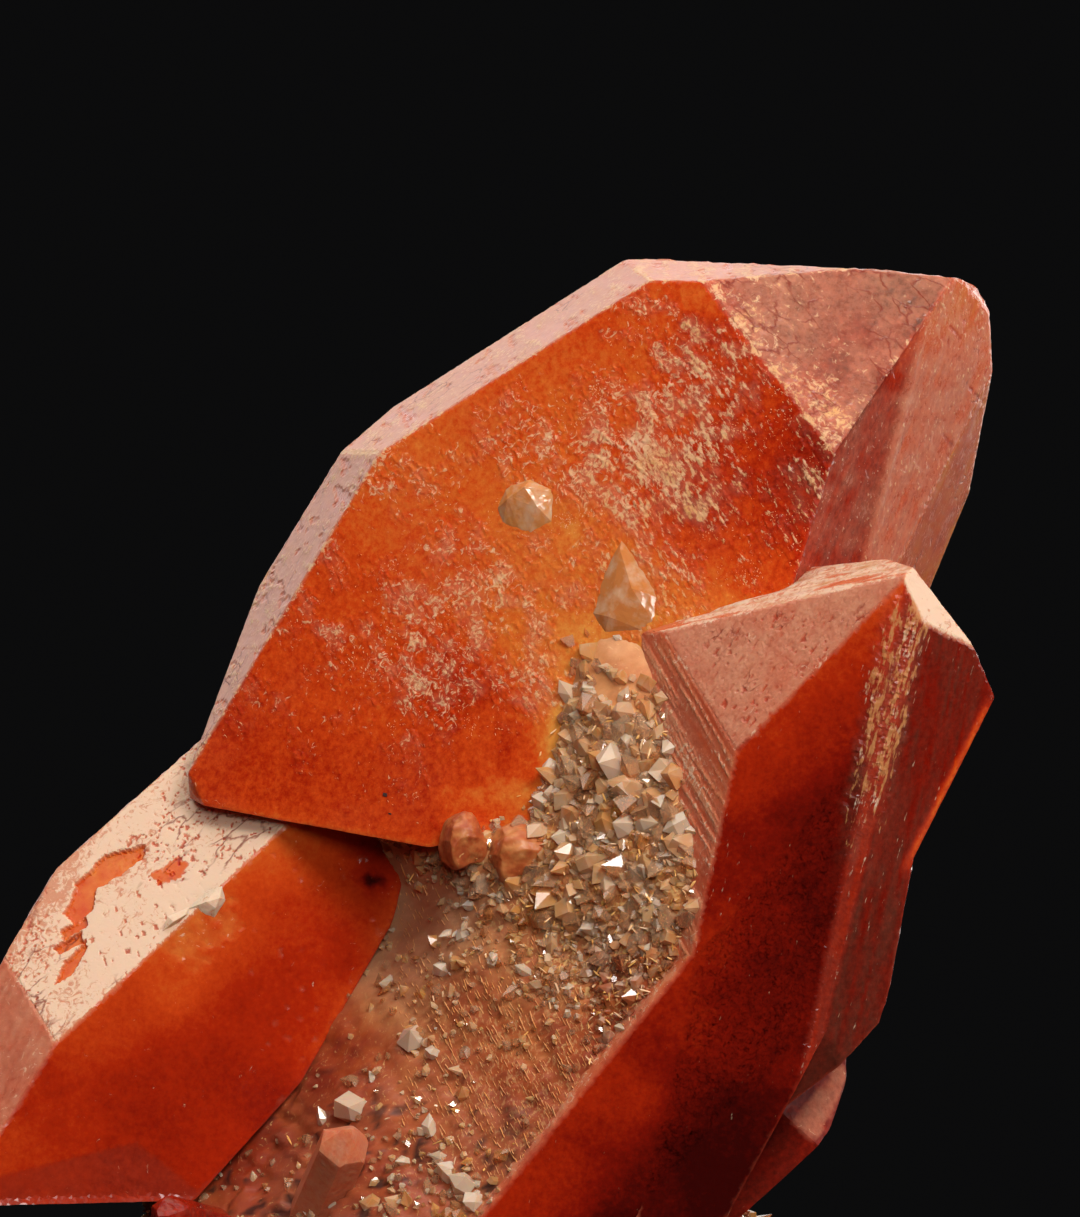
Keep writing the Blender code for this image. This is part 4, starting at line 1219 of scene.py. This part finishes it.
def seams(tree, direction, stretch, scale, width):
    """Fine crack lines between drawn-out plates: 1 on the line."""
    vector = aligned(tree, direction, stretch)
    wob = tree.nodes.new("ShaderNodeTexNoise")
    wob.inputs["Scale"].default_value = scale * 1.6
    wob.inputs["Detail"].default_value = 3.0
    tree.links.new(vector, wob.inputs["Vector"])
    mix = tree.nodes.new("ShaderNodeVectorMath")
    mix.operation = "MULTIPLY_ADD"
    tree.links.new(wob.outputs[1], mix.inputs[0])
    mix.inputs[1].default_value = (0.7 / scale, 0.7 / scale, 0.7 / scale)
    tree.links.new(vector, mix.inputs[2])
    v = tree.nodes.new("ShaderNodeTexVoronoi")
    v.feature = "DISTANCE_TO_EDGE"
    v.inputs["Scale"].default_value = scale
    tree.links.new(mix.outputs[0], v.inputs["Vector"])
    return linear(tree, v.outputs["Distance"], -1.0 / width, 1.0, clamp=True)


def hematoid(name, grain_dir, seam_dir, gloss=0.15, soft=0.28, seam_scale=620.0, sheen=0.20, pale=CREAM, mottle=0.20, grain=0.8, rich=GOLD):
    """Quartz full of iron oxide: red in its depth, orange where thin, milky and pink where etched. The pale pink and
    cream are also painted sheen on faces turned to the light, and the darkest red is also painted shade on undersides.
    """
    mat, tree, shader = new_material(name)
    tiny = noise_tex(tree, 2600.0, 2.0, 0.6)
    mid = noise_tex(tree, 520.0, 4.0, 0.6, distort=0.4)
    wide = noise_tex(tree, 110.0, 2.0, 0.5)
    deep = math_node(tree, "ADD", attribute(tree, "deep"), linear(tree, mid, mottle, -0.5 * mottle))
    deep = math_node(tree, "ADD", deep, linear(tree, wide, 0.10, -0.05))
    gritty = noise_tex(tree, 1900.0, 3.0, 0.72)
    deep = math_node(tree, "ADD", deep, linear(tree, gritty, grain, -0.5 * grain), clamp=True)
    body = ramp(tree, deep, HEMATOID)
    haze = math_node(tree, "MULTIPLY", attribute(tree, "haze"), linear(tree, mid, 1.1, 0.42))
    haze = math_node(tree, "MULTIPLY", haze, linear(tree, gritty, -2.6 * grain, 1.0 + 1.3 * grain), clamp=True)
    colour = mix_colour(tree, haze, body, PINK)
    # specks: curly ones and drawn-out ones, denser where the fleck mask is high; on faces turned to the light it is
    # set so high that the cream covers the face as painted sheen
    drawn = noise_on(tree, aligned(tree, grain_dir, 4.0), 2900.0, 3.0, 0.62)
    curly = noise_tex(tree, 1250.0, 4.0, 0.66, distort=1.8)
    which = tree.nodes.new("ShaderNodeMix")
    which.data_type = "FLOAT"
    tree.links.new(attribute(tree, "streak"), which.inputs[0])
    tree.links.new(curly, which.inputs[2])
    tree.links.new(drawn, which.inputs[3])
    speck = math_node(tree, "ADD", linear(tree, which.outputs[0], 9.0, -4.5), linear(tree, attribute(tree, "fleck"), 2.7, -1.85), clamp=True)
    gilt = math_node(tree, "MULTIPLY", attribute(tree, "gold"), linear(tree, mid, 3.0, -0.9), clamp=True)
    speck_colour = mix_colour(tree, gilt, pale, rich)
    colour = mix_colour(tree, math_node(tree, "MULTIPLY", speck, 0.82), colour, speck_colour)
    line = seams(tree, seam_dir, 2.2, seam_scale, 0.055)
    gate = math_node(tree, "ADD", linear(tree, noise_tex(tree, 330.0, 2.0, 0.5), 7.0, -3.5), linear(tree, attribute(tree, "crack"), 3.2, -2.0), clamp=True)
    seam = math_node(tree, "MULTIPLY", line, gate)
    colour = mix_colour(tree, math_node(tree, "MULTIPLY", seam, 0.85), colour, SEAM)
    tree.links.new(colour, shader.inputs["Base Color"])
    rough = math_node(tree, "ADD", linear(tree, haze, 0.22, gloss), linear(tree, speck, 0.16, 0.0))
    rough = math_node(tree, "ADD", rough, linear(tree, tiny, 0.10, 0.0), clamp=True)
    tree.links.new(rough, shader.inputs["Roughness"])
    shader.inputs["IOR"].default_value = 1.544
    shader.inputs["Specular IOR Level"].default_value = sheen
    shader.inputs["Subsurface Weight"].default_value = soft
    shader.inputs["Subsurface Radius"].default_value = (1.0, 0.25, 0.11)
    shader.inputs["Subsurface Scale"].default_value = 0.0024
    bump = tree.nodes.new("ShaderNodeBump")
    bump.inputs["Strength"].default_value = 0.35
    bump.inputs["Distance"].default_value = 0.00005
    tall = math_node(tree, "SUBTRACT", math_node(tree, "ADD", linear(tree, speck, 0.8, 0.0), linear(tree, tiny, 0.5, 0.0)), linear(tree, seam, 1.2, 0.0))
    tree.links.new(tall, bump.inputs["Height"])
    tree.links.new(bump.outputs[0], shader.inputs["Normal"])
    return mat


def rock_material():
    mat, tree, shader = new_material("vein_rock")
    tiny = noise_tex(tree, 2200.0, 3.0, 0.6)
    mid = noise_tex(tree, 420.0, 5.0, 0.62, distort=0.5)
    deep = attribute(tree, "deep")
    deep = math_node(tree, "ADD", deep, math_node(tree, "MULTIPLY", math_node(tree, "SUBTRACT", mid, 0.5), 0.5), clamp=True)
    body = ramp(tree, deep, [
        (0.0, (0.74, 0.36, 0.15)), (0.22, (0.58, 0.21, 0.065)), (0.42, (0.42, 0.085, 0.020)), (0.62, (0.27, 0.024, 0.005)), (0.8, (0.16, 0.009, 0.003)), (1.0, (0.06, 0.005, 0.003)),
    ])
    haze = math_node(tree, "MULTIPLY", attribute(tree, "haze"), linear(tree, mid, 1.6, 0.2), clamp=True)
    colour = mix_colour(tree, math_node(tree, "MULTIPLY", haze, 0.6), body, (0.56, 0.27, 0.165))
    hairs = noise_on(tree, aligned(tree, (0.454, 0.0, -0.891), 9.0), 3600.0, 2.0, 0.6)
    web = noise_tex(tree, 1500.0, 3.0, 0.6, distort=1.4)
    bright = math_node(tree, "ADD", linear(tree, hairs, 10.0, -5.0), linear(tree, attribute(tree, "streak"), 2.4, -2.0), clamp=True)
    colour = mix_colour(tree, math_node(tree, "MULTIPLY", bright, 0.55), colour, (0.64, 0.32, 0.13))
    gilt = math_node(tree, "ADD", linear(tree, web, 9.0, -4.5), linear(tree, attribute(tree, "gold"), 2.7, -1.9), clamp=True)
    colour = mix_colour(tree, math_node(tree, "MULTIPLY", gilt, 0.85), colour, (0.82, 0.50, 0.20))
    colour = mix_colour(tree, attribute(tree, "fleck"), colour, (0.045, 0.016, 0.012))
    tree.links.new(colour, shader.inputs["Base Color"])
    tree.links.new(math_node(tree, "ADD", math_node(tree, "MULTIPLY", tiny, 0.25), 0.30), shader.inputs["Roughness"])
    shader.inputs["IOR"].default_value = 1.54
    shader.inputs["Specular IOR Level"].default_value = 0.35
    shader.inputs["Subsurface Weight"].default_value = 0.18
    shader.inputs["Subsurface Radius"].default_value = (1.0, 0.3, 0.14)
    shader.inputs["Subsurface Scale"].default_value = 0.0014
    bump = tree.nodes.new("ShaderNodeBump")
    bump.inputs["Strength"].default_value = 0.35
    bump.inputs["Distance"].default_value = 0.00008
    tree.links.new(math_node(tree, "ADD", tiny, mid), bump.inputs["Height"])
    tree.links.new(bump.outputs[0], shader.inputs["Normal"])
    return mat


def clear_quartz(name, tint, clear=0.75, gloss=0.06, milk=0.0):
    """Small second-generation quartz: nearly clear, with a little iron stain between the points."""
    mat, tree, shader = new_material(name)
    mid = noise_tex(tree, 700.0, 3.0, 0.6)
    colour = mix_colour(tree, attribute(tree, "gold"), tint, (0.92, 0.38, 0.10))
    colour = mix_colour(tree, attribute(tree, "deep"), colour, (0.50, 0.085, 0.016))
    colour = mix_colour(tree, linear(tree, mid, 2.4, -1.1, clamp=True), colour, (0.94, 0.68, 0.47))
    tree.links.new(colour, shader.inputs["Base Color"])
    tree.links.new(math_node(tree, "ADD", math_node(tree, "MULTIPLY", mid, 0.12), gloss), shader.inputs["Roughness"])
    shader.inputs["IOR"].default_value = 1.544
    shader.inputs["Transmission Weight"].default_value = clear
    if milk:
        shader.inputs["Subsurface Weight"].default_value = milk
        shader.inputs["Subsurface Radius"].default_value = (1.0, 0.55, 0.30)
        shader.inputs["Subsurface Scale"].default_value = 0.0008
    return mat


def flake_material(name, pale, rich, veil):
    mat, tree, shader = new_material(name)
    mid = noise_tex(tree, 900.0, 3.0, 0.6)
    colour = mix_colour(tree, attribute(tree, "gold"), pale, rich)
    colour = mix_colour(tree, linear(tree, mid, 1.6, -0.6, clamp=True), colour, veil)
    tree.links.new(colour, shader.inputs["Base Color"])
    tree.links.new(math_node(tree, "ADD", math_node(tree, "MULTIPLY", mid, 0.2), 0.18), shader.inputs["Roughness"])
    shader.inputs["IOR"].default_value = 1.544
    return mat


# ================================================================ building
def give(ob, mat, nodes=()):
    ob.data.materials.clear()
    ob.data.materials.append(mat)
    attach(ob, "root")
    if nodes:
        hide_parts(*nodes)
    return ob


def on_sheet(degrees, lean=0.0):
    """A direction drawn on the sheet, degrees below the right."""
    return (math.cos(math.radians(degrees)), lean, -math.sin(math.radians(degrees)))


RED = hematoid("hematoid_quartz", on_sheet(52), on_sheet(48), pale=(0.78, 0.50, 0.30), mottle=0.12, grain=0.5)
DARK_RED = hematoid("dark_hematoid_quartz", on_sheet(104), on_sheet(140), gloss=0.13, seam_scale=800.0, mottle=0.08, soft=0.20, grain=0.32, rich=(0.54, 0.22, 0.075))
DULL_RED = hematoid("dull_hematoid_quartz", on_sheet(52), on_sheet(48), gloss=0.42, sheen=0.08, mottle=0.14, grain=0.5)
LEFT_RED = hematoid("left_hematoid_quartz", on_sheet(118), on_sheet(-42), seam_scale=560.0, mottle=0.10, grain=0.25)

K = 1.0
main, main_v, main_t = dense_solid(
    "main_crystal", MAIN, 0.62 * K, paint_main, fine={"front": 0.23 * K, "upper": 0.28 * K, "left": 0.26 * K, "top": 0.3 * K, "tip": 0.24 * K, "right": 0.34 * K, "edge": 0.4 * K}
)
give(main, RED, ["crystal_pair"])
upper, _, _ = dense_solid(
    "right_crystal_head", right_upper_faces(), 0.6 * K, paint_right, fine={"front": 0.3 * K, "shoulder": 0.2 * K, "bevel": 0.17 * K, "flank": 0.2 * K, "white": 0.2 * K, "side": 0.3 * K, "strip": 0.22 * K}
)
give(upper, DARK_RED, ["crystal_pair"])
lower, _, _ = dense_solid("right_crystal_foot", right_lower_faces(), 0.6 * K, paint_right, fine={"front": 0.32 * K, "side": 0.34 * K, "strip": 0.3 * K, "under": 0.4 * K})
give(lower, DARK_RED, ["crystal_pair"])
left, _, _ = dense_solid("left_crystal_body", left_faces(), 0.6 * K, paint_left, fine={"top": 0.17 * K, "front": 0.32 * K, "end": 0.25 * K})
give(left, LEFT_RED, ["left_crystal"])
lower_right, _, _ = dense_solid("lower_right_crystal_body", lower_right_faces(), 0.4 * K, paint_lower_right)
give(lower_right, DULL_RED, ["lower_right_crystal"])

ROCK = rock_material()
rock, rock_v, rock_n, rock_c, rock_r = build_rock()
give(rock, ROCK, ["matrix"])

lf, _, _ = dense_solid("lower_front_crystal_body", pointed((352, 1128), -8.6, (306, 1232), 1.5, 3.6, turn=12), 0.25 * K, paint_small(0.30, 0.62), chip=0.03)
give(lf, RED, ["lower_front_crystal"])
bl, _, _ = dense_solid("bottom_left_crystal_body", pointed((158, 1216), -4.6, (226, 1236), 6.0, 3.2, turn=20), 0.25 * K, paint_small(0.66, 0.0), chip=0.03)
give(bl, RED, ["bottom_left_crystal"])
for name, nodes, centre, depth, radii, deep, haze in (
    ("milky_grain", "milky_knob", (464, 842), -5.7, (1.9, 2.4, 2.3), 0.42, 0.06),
    ("orange_grain", "orange_knob", (520, 856), -6.4, (2.9, 2.8, 2.6), 0.36, 0.0),
):
    v, f, small = lump(name, centre, depth, radii, 601)
    ob = mesh_object(name, v, f, {"deep": deep + 0.25 * small, "haze": haze + 0.10 * small, "fleck": 0 * small, "gold": 0.04 + 0.2 * small, "streak": 0 * small}, smooth=True)
    give(ob, ROCK, [nodes])

# ---------------------------------------------------------------- the druse
rng = np.random.default_rng(7)
rows_n, ring = rock_c.shape
half_ring = ring // 2


def on_rock(c, r):
    """The nearest modelled point of the rock's front, its normal, for places on the sheet."""
    row = np.clip(np.round((1377 - r) / (1377 - 625) * (rows_n - 1)).astype(int), 1, rows_n - 2)
    col = np.array([int(np.argmin(np.abs(rock_c[i, :half_ring] - x))) for i, x in zip(row, c)])
    return rock_v[row, col], rock_n[row, col]


def spaced(points, sizes, order, room=0.36):
    """Keeps points that stand clear of those kept before."""
    grid, kept = {}, []
    cell = 0.0014
    for i in order:
        p, s = points[i], sizes[i]
        key = tuple((p // cell).astype(int))
        near = [j for dx in (-1, 0, 1) for dy in (-1, 0, 1) for dz in (-1, 0, 1) for j in grid.get((key[0] + dx, key[1] + dy, key[2] + dz), ())]
        if all(np.linalg.norm(points[j] - p) > room * (s + sizes[j]) for j in near):
            grid.setdefault(key, []).append(i)
            kept.append(i)
    return np.array(kept)


pick = rng.random((120000, 2))
ri = 1 + (pick[:, 0] * (rows_n - 2)).astype(int)
ci = (pick[:, 1] * ring).astype(int) % ring
spots, nrm = rock_v[ri, ci], rock_n[ri, ci]
cc, rr = rock_c[ri, ci], rock_r[ri, ci]
front_side = (ci < half_ring) & (rr < 1235)
area = np.linalg.norm(rock_v[np.minimum(ri + 1, rows_n - 1), ci] - spots, axis=1) * np.linalg.norm(rock_v[ri, (ci + 1) % ring] - spots, axis=1)
area /= np.median(area)
off_face = within(cc, rr, [(440, 700), (572, 640), (562, 745), (522, 806), (440, 836)]) < 0
want = np.where(front_side, DRUSE(cc, rr) ** 1.5 * (rr > 635) * off_face, 0.30 * step01(fbm(spots / MM * 0.10, 2, 701), -0.3, 0.3) + 0.015)
take = (rng.random(len(pick)) < np.clip(want * area * 0.60, 0, 1)) & (rr < 1356) & (spots[:, 2] > 0.0012)
ids = np.nonzero(take)[0]
grade = rng.random(len(ids))
size = np.where(grade < 0.10, rng.uniform(1.1, 2.0, len(ids)), rng.uniform(0.45, 1.05, len(ids))) * MM
size = np.where(front_side[ids] & (rr[ids] > 930), size * 0.72, size)
kept = spaced(spots[ids], size, np.argsort(-size), 0.23)
ids, size = ids[kept], size[kept]
lean = nrm[ids] + rng.normal(0, 0.62, (len(ids), 3))
CLEAR = clear_quartz("clear_quartz_points", (0.99, 0.68, 0.42), 0.76, 0.0)
CLOUDY = clear_quartz("cloudy_quartz_points", (0.88, 0.46, 0.22), 0.45, 0.05, 0.5)
AMBER = clear_quartz("amber_quartz", (0.90, 0.40, 0.13), 0.35, 0.06, 0.5)
WHITE = clear_quartz("white_quartz_points", (0.95, 0.70, 0.52), 0.42, 0.03, 0.4)
sort = rng.random(len(ids))
place = front_side[ids]
gold = np.clip(0.35 + 0.6 * vnoise(spots[ids] / MM * 0.5, 703) + 0.2 * step01(rr[ids], 900, 1040) * place + rng.normal(0, 0.2, len(ids)), 0, 0.95)
dark_foot = np.clip(step01(rr[ids], 915, 985) * step01(cc[ids], 560, 600) * place * (0.55 + 0.35 * rng.random(len(ids))), 0, 0.9)
# Of the valley points about half are clear, three in ten cloudy and two in ten white; the white ones are pale quartz,
# and their pale colour also stands in for painted highlights among the points.
for name, sel, mat, seed in (
    ("valley_druse_clear", place & (sort < 0.5), CLEAR, 71),
    ("valley_druse_cloudy", place & (sort >= 0.5) & (sort < 0.80), CLOUDY, 72),
    ("valley_druse_white", place & (sort >= 0.80), WHITE, 73),
    ("rock_druse_clear", ~place & (sort < 0.4), CLEAR, 74),
    ("rock_druse_cloudy", ~place & (sort >= 0.4), CLOUDY, 75),
):
    i = ids[sel]
    ob = quartz_points(name, spots[i], lean[sel], size[sel], seed, rise=0.12, masks={"gold": gold[sel], "deep": dark_foot[sel]})
    give(ob, mat)

# golden and cream slivers between the points


def down_sheet(normal, degrees):
    """Directions in a surface that look turned by so much (degrees below the right) from the front."""
    t = np.radians(degrees)
    x, z = np.cos(t), -np.sin(t)
    ny = np.where(np.abs(normal[:, 1]) < 0.15, -0.15, normal[:, 1])
    d = np.stack([x + 0 * ny, -(normal[:, 0] * x + normal[:, 2] * z) / ny, z + 0 * ny], axis=1)
    return d / np.linalg.norm(d, axis=1, keepdims=True)


g_pick = np.nonzero(front_side & (rr > 655) & (rng.random(len(pick)) < np.clip(DRUSE(cc, rr) ** 2.2 * 0.17 * (1 + 0.8 * step01(rr, 880, 1000)), 0, 1)))[0]
k = len(g_pick)
ob = flakes(
    "druse_slivers", spots[g_pick] + nrm[g_pick] * (rng.uniform(0.0, 0.55, k) * MM)[:, None], nrm[g_pick], rng.normal(0, 1, (k, 3)),
    rng.uniform(0.15, 0.62, k) * MM, rng.uniform(0.03, 0.09, k) * MM, rng.uniform(0.03, 0.07, k) * MM, 77, tilt=0.7, masks={"gold": rng.uniform(0.2, 1.3, k)},
)
SLIVER = flake_material("golden_slivers", CREAM, (0.86, 0.46, 0.12), (0.80, 0.40, 0.14))
give(ob, SLIVER)

# the larger bright points, each with one face towards the light above; their pale colour also stands in for painted
# highlights
heroes = [
    (440, 972, 1.6), (412, 1040, 2.3), (432, 1052, 1.3), (357, 1112, 2.6), (372, 1078, 1.5), (598, 717, 1.9), (612, 762, 3.0), (672, 748, 2.2), (624, 790, 2.2),
    (560, 838, 1.9), (625, 828, 2.3), (555, 862, 1.4), (642, 868, 1.6), (690, 905, 1.3), (650, 950, 1.5), (622, 1028, 1.4), (472, 905, 1.2), (522, 972, 1.4),
    (346, 1172, 2.2), (430, 1130, 1.5), (450, 1172, 1.7), (466, 1182, 2.0), (440, 1158, 1.2), (476, 1200, 1.8), (322, 1120, 1.6), (585, 900, 1.3), (600, 960, 1.2),
    (660, 800, 1.6), (590, 690, 1.3), (500, 898, 1.1), (385, 985, 1.6), (492, 955, 1.1), (545, 925, 1.4), (630, 740, 1.6), (690, 830, 1.1), (405, 1160, 1.2), (332, 1200, 1.8),
]
spot_h, n_h = on_rock(np.array([h[0] for h in heroes], float), np.array([h[1] for h in heroes], float))
size_h = np.array([h[2] for h in heroes]) * 0.9 * MM
bright = np.array([-0.25, -0.66, 0.70]) + rng.normal(0, 0.14, (len(heroes), 3))
bright /= np.linalg.norm(bright, axis=1, keepdims=True)
away = n_h + rng.normal(0, 0.5, n_h.shape)
away -= bright * (away * bright).sum(1, keepdims=True)
away /= np.linalg.norm(away, axis=1, keepdims=True)
t = math.radians(48)
ob = quartz_points("bright_points", spot_h, bright * math.cos(t) + away * math.sin(t), size_h, 76, facet=bright, rise=0.10, masks={"gold": np.full(len(heroes), 0.05)})
give(ob, WHITE)

# ---------------------------------------------------------------- etched grains on the main face
def face_spots(face, count, density, seed, box):
    r_ = np.random.default_rng(seed)
    c = r_.uniform(box[0], box[2], count)
    r = r_.uniform(box[1], box[3], count)
    keep = r_.random(count) < density(c, r)
    c, r = c[keep], r[keep]
    n, d = face
    x = (c - MID_COLUMN) * SQUARE
    z = BENCH + (LOW_ROW - r) * SQUARE
    y = (d - n[0] * x - n[2] * z) / n[1]
    return np.stack([x, y, z], axis=1), c, r


def inside_main(c, r):
    ring_ = [(379, 452), (650, 280), (701, 281), (834, 453), (803, 551), (700, 600), (600, 628), (572, 700), (560, 765), (440, 845), (350, 835), (205, 800), (195, 770)]
    ok = np.ones(len(c), bool)
    for (x0, y0), (x1, y1) in zip(ring_, ring_[1:] + ring_[:1]):
        ok &= (x1 - x0) * (r - y0) - (y1 - y0) * (c - x0) > 3 * math.hypot(x1 - x0, y1 - y0) if (x0, y0) in ((379, 452), (650, 280), (701, 281), (834, 453), (205, 800), (195, 770)) else True
    return ok


def main_density(c, r):
    f = MAIN_FLECK(c, r) + 0.42 * fbm(flat3(c / 26, r / 26), 3, 23) + 0.25 * fbm(flat3(c / 70, r / 70), 3, 11)
    return step01(f, 0.42, 0.95) * inside_main(c, r)


spots_f, fc, fr = face_spots(MAIN["front"], 60000, main_density, 81, (190, 280, 840, 850))
k = len(spots_f)
r_ = np.random.default_rng(82)
turn = np.radians(np.where(r_.random(k) < 0.45, 50 + r_.normal(0, 18, k), r_.uniform(0, 180, k)))
direction = np.stack([np.cos(turn), np.zeros(k), -np.sin(turn)], axis=1)
ob = flakes(
    "main_crystal_grains", spots_f, np.tile(MAIN["front"][0], (k, 1)), direction,
    r_.uniform(0.04, 0.17, k) * MM, r_.uniform(0.02, 0.055, k) * MM, r_.uniform(0.015, 0.035, k) * MM, 83,
    tilt=0.22, masks={"gold": np.clip(r_.normal(0.35, 0.3, k), 0, 1)},
)
FLAKE = flake_material("etched_grains", (0.74, 0.42, 0.24), (0.70, 0.28, 0.075), (0.66, 0.22, 0.09))
HAIR = flake_material("rock_hairs", (0.72, 0.38, 0.18), (0.70, 0.30, 0.09), (0.46, 0.14, 0.04))
give(ob, FLAKE)

# hair-like ridges down the slope of the rock
r_ = np.random.default_rng(91)
nc, nr = r_.uniform(400, 720, 16000), r_.uniform(700, 1180, 16000)
keep = r_.random(16000) < np.clip(SLOPE(nc, nr) - 0.25, 0, 1) * 0.45
nc, nr = nc[keep], nr[keep]
sp, sn = on_rock(nc, nr)
k = len(sp)
turn = np.radians(63 + r_.normal(0, 5, k))
ob = flakes("slope_ridges", sp, sn, down_sheet(sn, np.degrees(turn)), r_.uniform(0.15, 0.9, k) ** 1.3 * MM, r_.uniform(0.02, 0.05, k) * MM, r_.uniform(0.02, 0.06, k) * MM, 92, tilt=0.1, masks={"gold": r_.uniform(0.2, 1.0, k)})
give(ob, HAIR)


def overgrowth(name, outline, ridge, face, height, mat, seed, deep=0.12, haze=0.40, fleck=0.42, gold=0.45):
    """A small crystal grown on a face: an outline on the sheet, drawn up to a ridge."""
    import bmesh

    n = face[0]
    low = [on(face, q) - n * 0.0004 for q in outline]
    high = [on(face, q) + n * h * MM for q, h in zip(ridge, height)]
    bm = bmesh.new()
    for q in low + high:
        bm.verts.new(q)
    bmesh.ops.convex_hull(bm, input=bm.verts)
    bmesh.ops.triangulate(bm, faces=bm.faces)
    bmesh.ops.subdivide_edges(bm, edges=bm.edges, cuts=9, use_grid_fill=True)
    bm.verts.ensure_lookup_table()
    bm.normal_update()
    v = np.array([q.co[:] for q in bm.verts])
    vn = np.array([q.normal[:] for q in bm.verts])
    f = [[q.index for q in g.verts] for g in bm.faces]
    bm.free()
    grain = fbm(v / MM * 3.0, 3, seed)
    v = v + vn * (0.03 * grain * MM)[:, None]
    up = ((v - np.mean(low, axis=0)) @ n) / MM
    masks = {"deep": deep + 0.08 * grain * (deep > 0), "haze": haze + 0.25 * grain + 0.1 * up, "fleck": fleck + 0.2 * grain + 0.1 * up, "gold": gold + 0 * up, "crack": 0.1 + 0 * up, "streak": 0 * up}
    out = mesh_object(name, v, f, masks)
    return give(out, mat)


overgrowth("overgrowth_left", [(490, 512), (502, 484), (530, 475), (562, 490), (558, 530), (524, 547), (498, 536)], [(512, 500), (530, 489), (541, 508)], MAIN["front"], (0.8, 1.0, 0.7), AMBER, 801, deep=0.14, gold=0.3)
overgrowth("overgrowth_right", [(580, 610), (600, 566), (621, 530), (646, 560), (670, 602), (662, 638), (600, 642)], [(622, 550), (636, 590), (612, 618)], MAIN["front"], (0.4, 0.8, 0.6), AMBER, 802, deep=0.32, gold=0.4)

overgrowth("notch_crystal_a", [(188, 910), (205, 894), (224, 880), (230, 902), (214, 924), (198, 920)], [(204, 902), (217, 898), (213, 908)], left_faces()["front"], (0.45, 0.55, 0.5), LEFT_RED, 803, 0.2, 1.0, 1.25, 0.0)
overgrowth("notch_crystal_b", [(163, 932), (168, 918), (190, 908), (192, 914), (178, 926)], [(172, 922), (182, 916)], left_faces()["front"], (0.25, 0.25), LEFT_RED, 804, 0.2, 1.0, 1.2, 0.0)

# two dark grains sit on the main face
spec, sc, sr = np.array([on(MAIN["front"], (385, 795)), on(MAIN["front"], (390, 814)), on(MAIN["front"], (440, 690))]), None, None
ob = flakes("dark_grains", spec, np.tile(MAIN["front"][0], (3, 1)), np.tile([0.9, 0, -0.3], (3, 1)), np.array([0.38, 0.24, 0.3]) * MM, np.array([0.2, 0.15, 0.25]) * MM, np.array([0.10, 0.08, 0.05]) * MM, 93)
dark, dtree, dshader = new_material("dark_oxide")
dtree.links.new(ramp(dtree, noise_tex(dtree, 3000.0), [(0.3, (0.020, 0.012, 0.012)), (0.7, (0.06, 0.025, 0.02))]), dshader.inputs["Base Color"])
dtree.links.new(linear(dtree, noise_tex(dtree, 4000.0), 0.3, 0.2), dshader.inputs["Roughness"])
give(ob, dark)

# ================================================================ stage, light, camera
floor_mat, ftree, fshader = new_material("floor_board")
fn = noise_tex(ftree, 3.0, 2.0)
ftree.links.new(ramp(ftree, fn, [(0.0, (0.60, 0.59, 0.58)), (1.0, (0.64, 0.63, 0.62))]), fshader.inputs["Base Color"])
fshader.inputs["Roughness"].default_value = 0.9
count = 96
ringv = [(0.6 * math.cos(2 * math.pi * i / count), 0.6 * math.sin(2 * math.pi * i / count), 0.0) for i in range(count)]
floor = mesh_object("floor", ringv, [list(range(count))])
floor.data.materials.append(floor_mat)
floor.visible_glossy = False
floor.visible_diffuse = False
floor.visible_transmission = False


def softbox(name, target, direction, distance, size, power, colour=(1, 1, 1), spread=180):
    light = bpy.data.lights.new(name, "AREA")
    light.shape = "RECTANGLE"
    light.size, light.size_y = size
    light.energy = power
    light.color = colour
    light.spread = math.radians(spread)
    ob = bpy.data.objects.new(name, light)
    bpy.context.scene.collection.objects.link(ob)
    d = Vector(direction).normalized()
    ob.location = Vector(target) + d * distance
    ob.rotation_mode = "QUATERNION"
    ob.rotation_quaternion = d.to_track_quat("Z", "Y")
    ob.visible_camera = False
    return ob


CENTRE = (0.0, 0.0, 0.05)
softbox("light_above", CENTRE, (-0.25, 0.0, 0.97), 0.75, (0.9, 0.75), 4.5, (1.0, 0.97, 0.93))
softbox("light_behind", CENTRE, (-0.30, 0.86, 0.36), 0.85, (0.9, 0.38), 1.9, (1.0, 0.97, 0.94))
softbox("light_front", CENTRE, (0.36, -0.74, 0.56), 0.95, (0.34, 0.28), 7.5, (1.0, 0.96, 0.91))
softbox("light_fill", CENTRE, (0.05, -0.97, 0.24), 1.2, (0.3, 0.3), 4.5, (1.0, 0.96, 0.92))
softbox("light_right", CENTRE, (0.92, -0.05, 0.14), 0.8, (0.5, 0.3), 2.2, (1.0, 0.96, 0.92))
softbox("light_back_right", CENTRE, (0.60, 0.79, 0.10), 0.85, (0.6, 0.3), 2.4, (1.0, 0.96, 0.92))

world = bpy.data.worlds.new("dim_room")
bpy.context.scene.world = world
world.use_nodes = True
world.node_tree.nodes["Background"].inputs[0].default_value = (0.02, 0.02, 0.021, 1)
world.node_tree.nodes["Background"].inputs[1].default_value = 0.18

cam = bpy.data.cameras.new("camera")
cam_ob = bpy.data.objects.new("camera", cam)
bpy.context.scene.collection.objects.link(cam_ob)
DIST = 2.5
mid = at((540, 608.5), 0)
cam_ob.location = (mid[0], -DIST, mid[2])
cam_ob.rotation_euler = (math.radians(90), 0, 0)
cam.sensor_width = 36
cam.lens = 36 * (DIST - 0.004) / (1217 * SQUARE)
cam.clip_start, cam.clip_end = 0.05, 20
bpy.context.scene.camera = cam_ob
bpy.context.scene.view_settings.view_transform = "Standard"
bpy.context.scene.view_settings.look = "None"
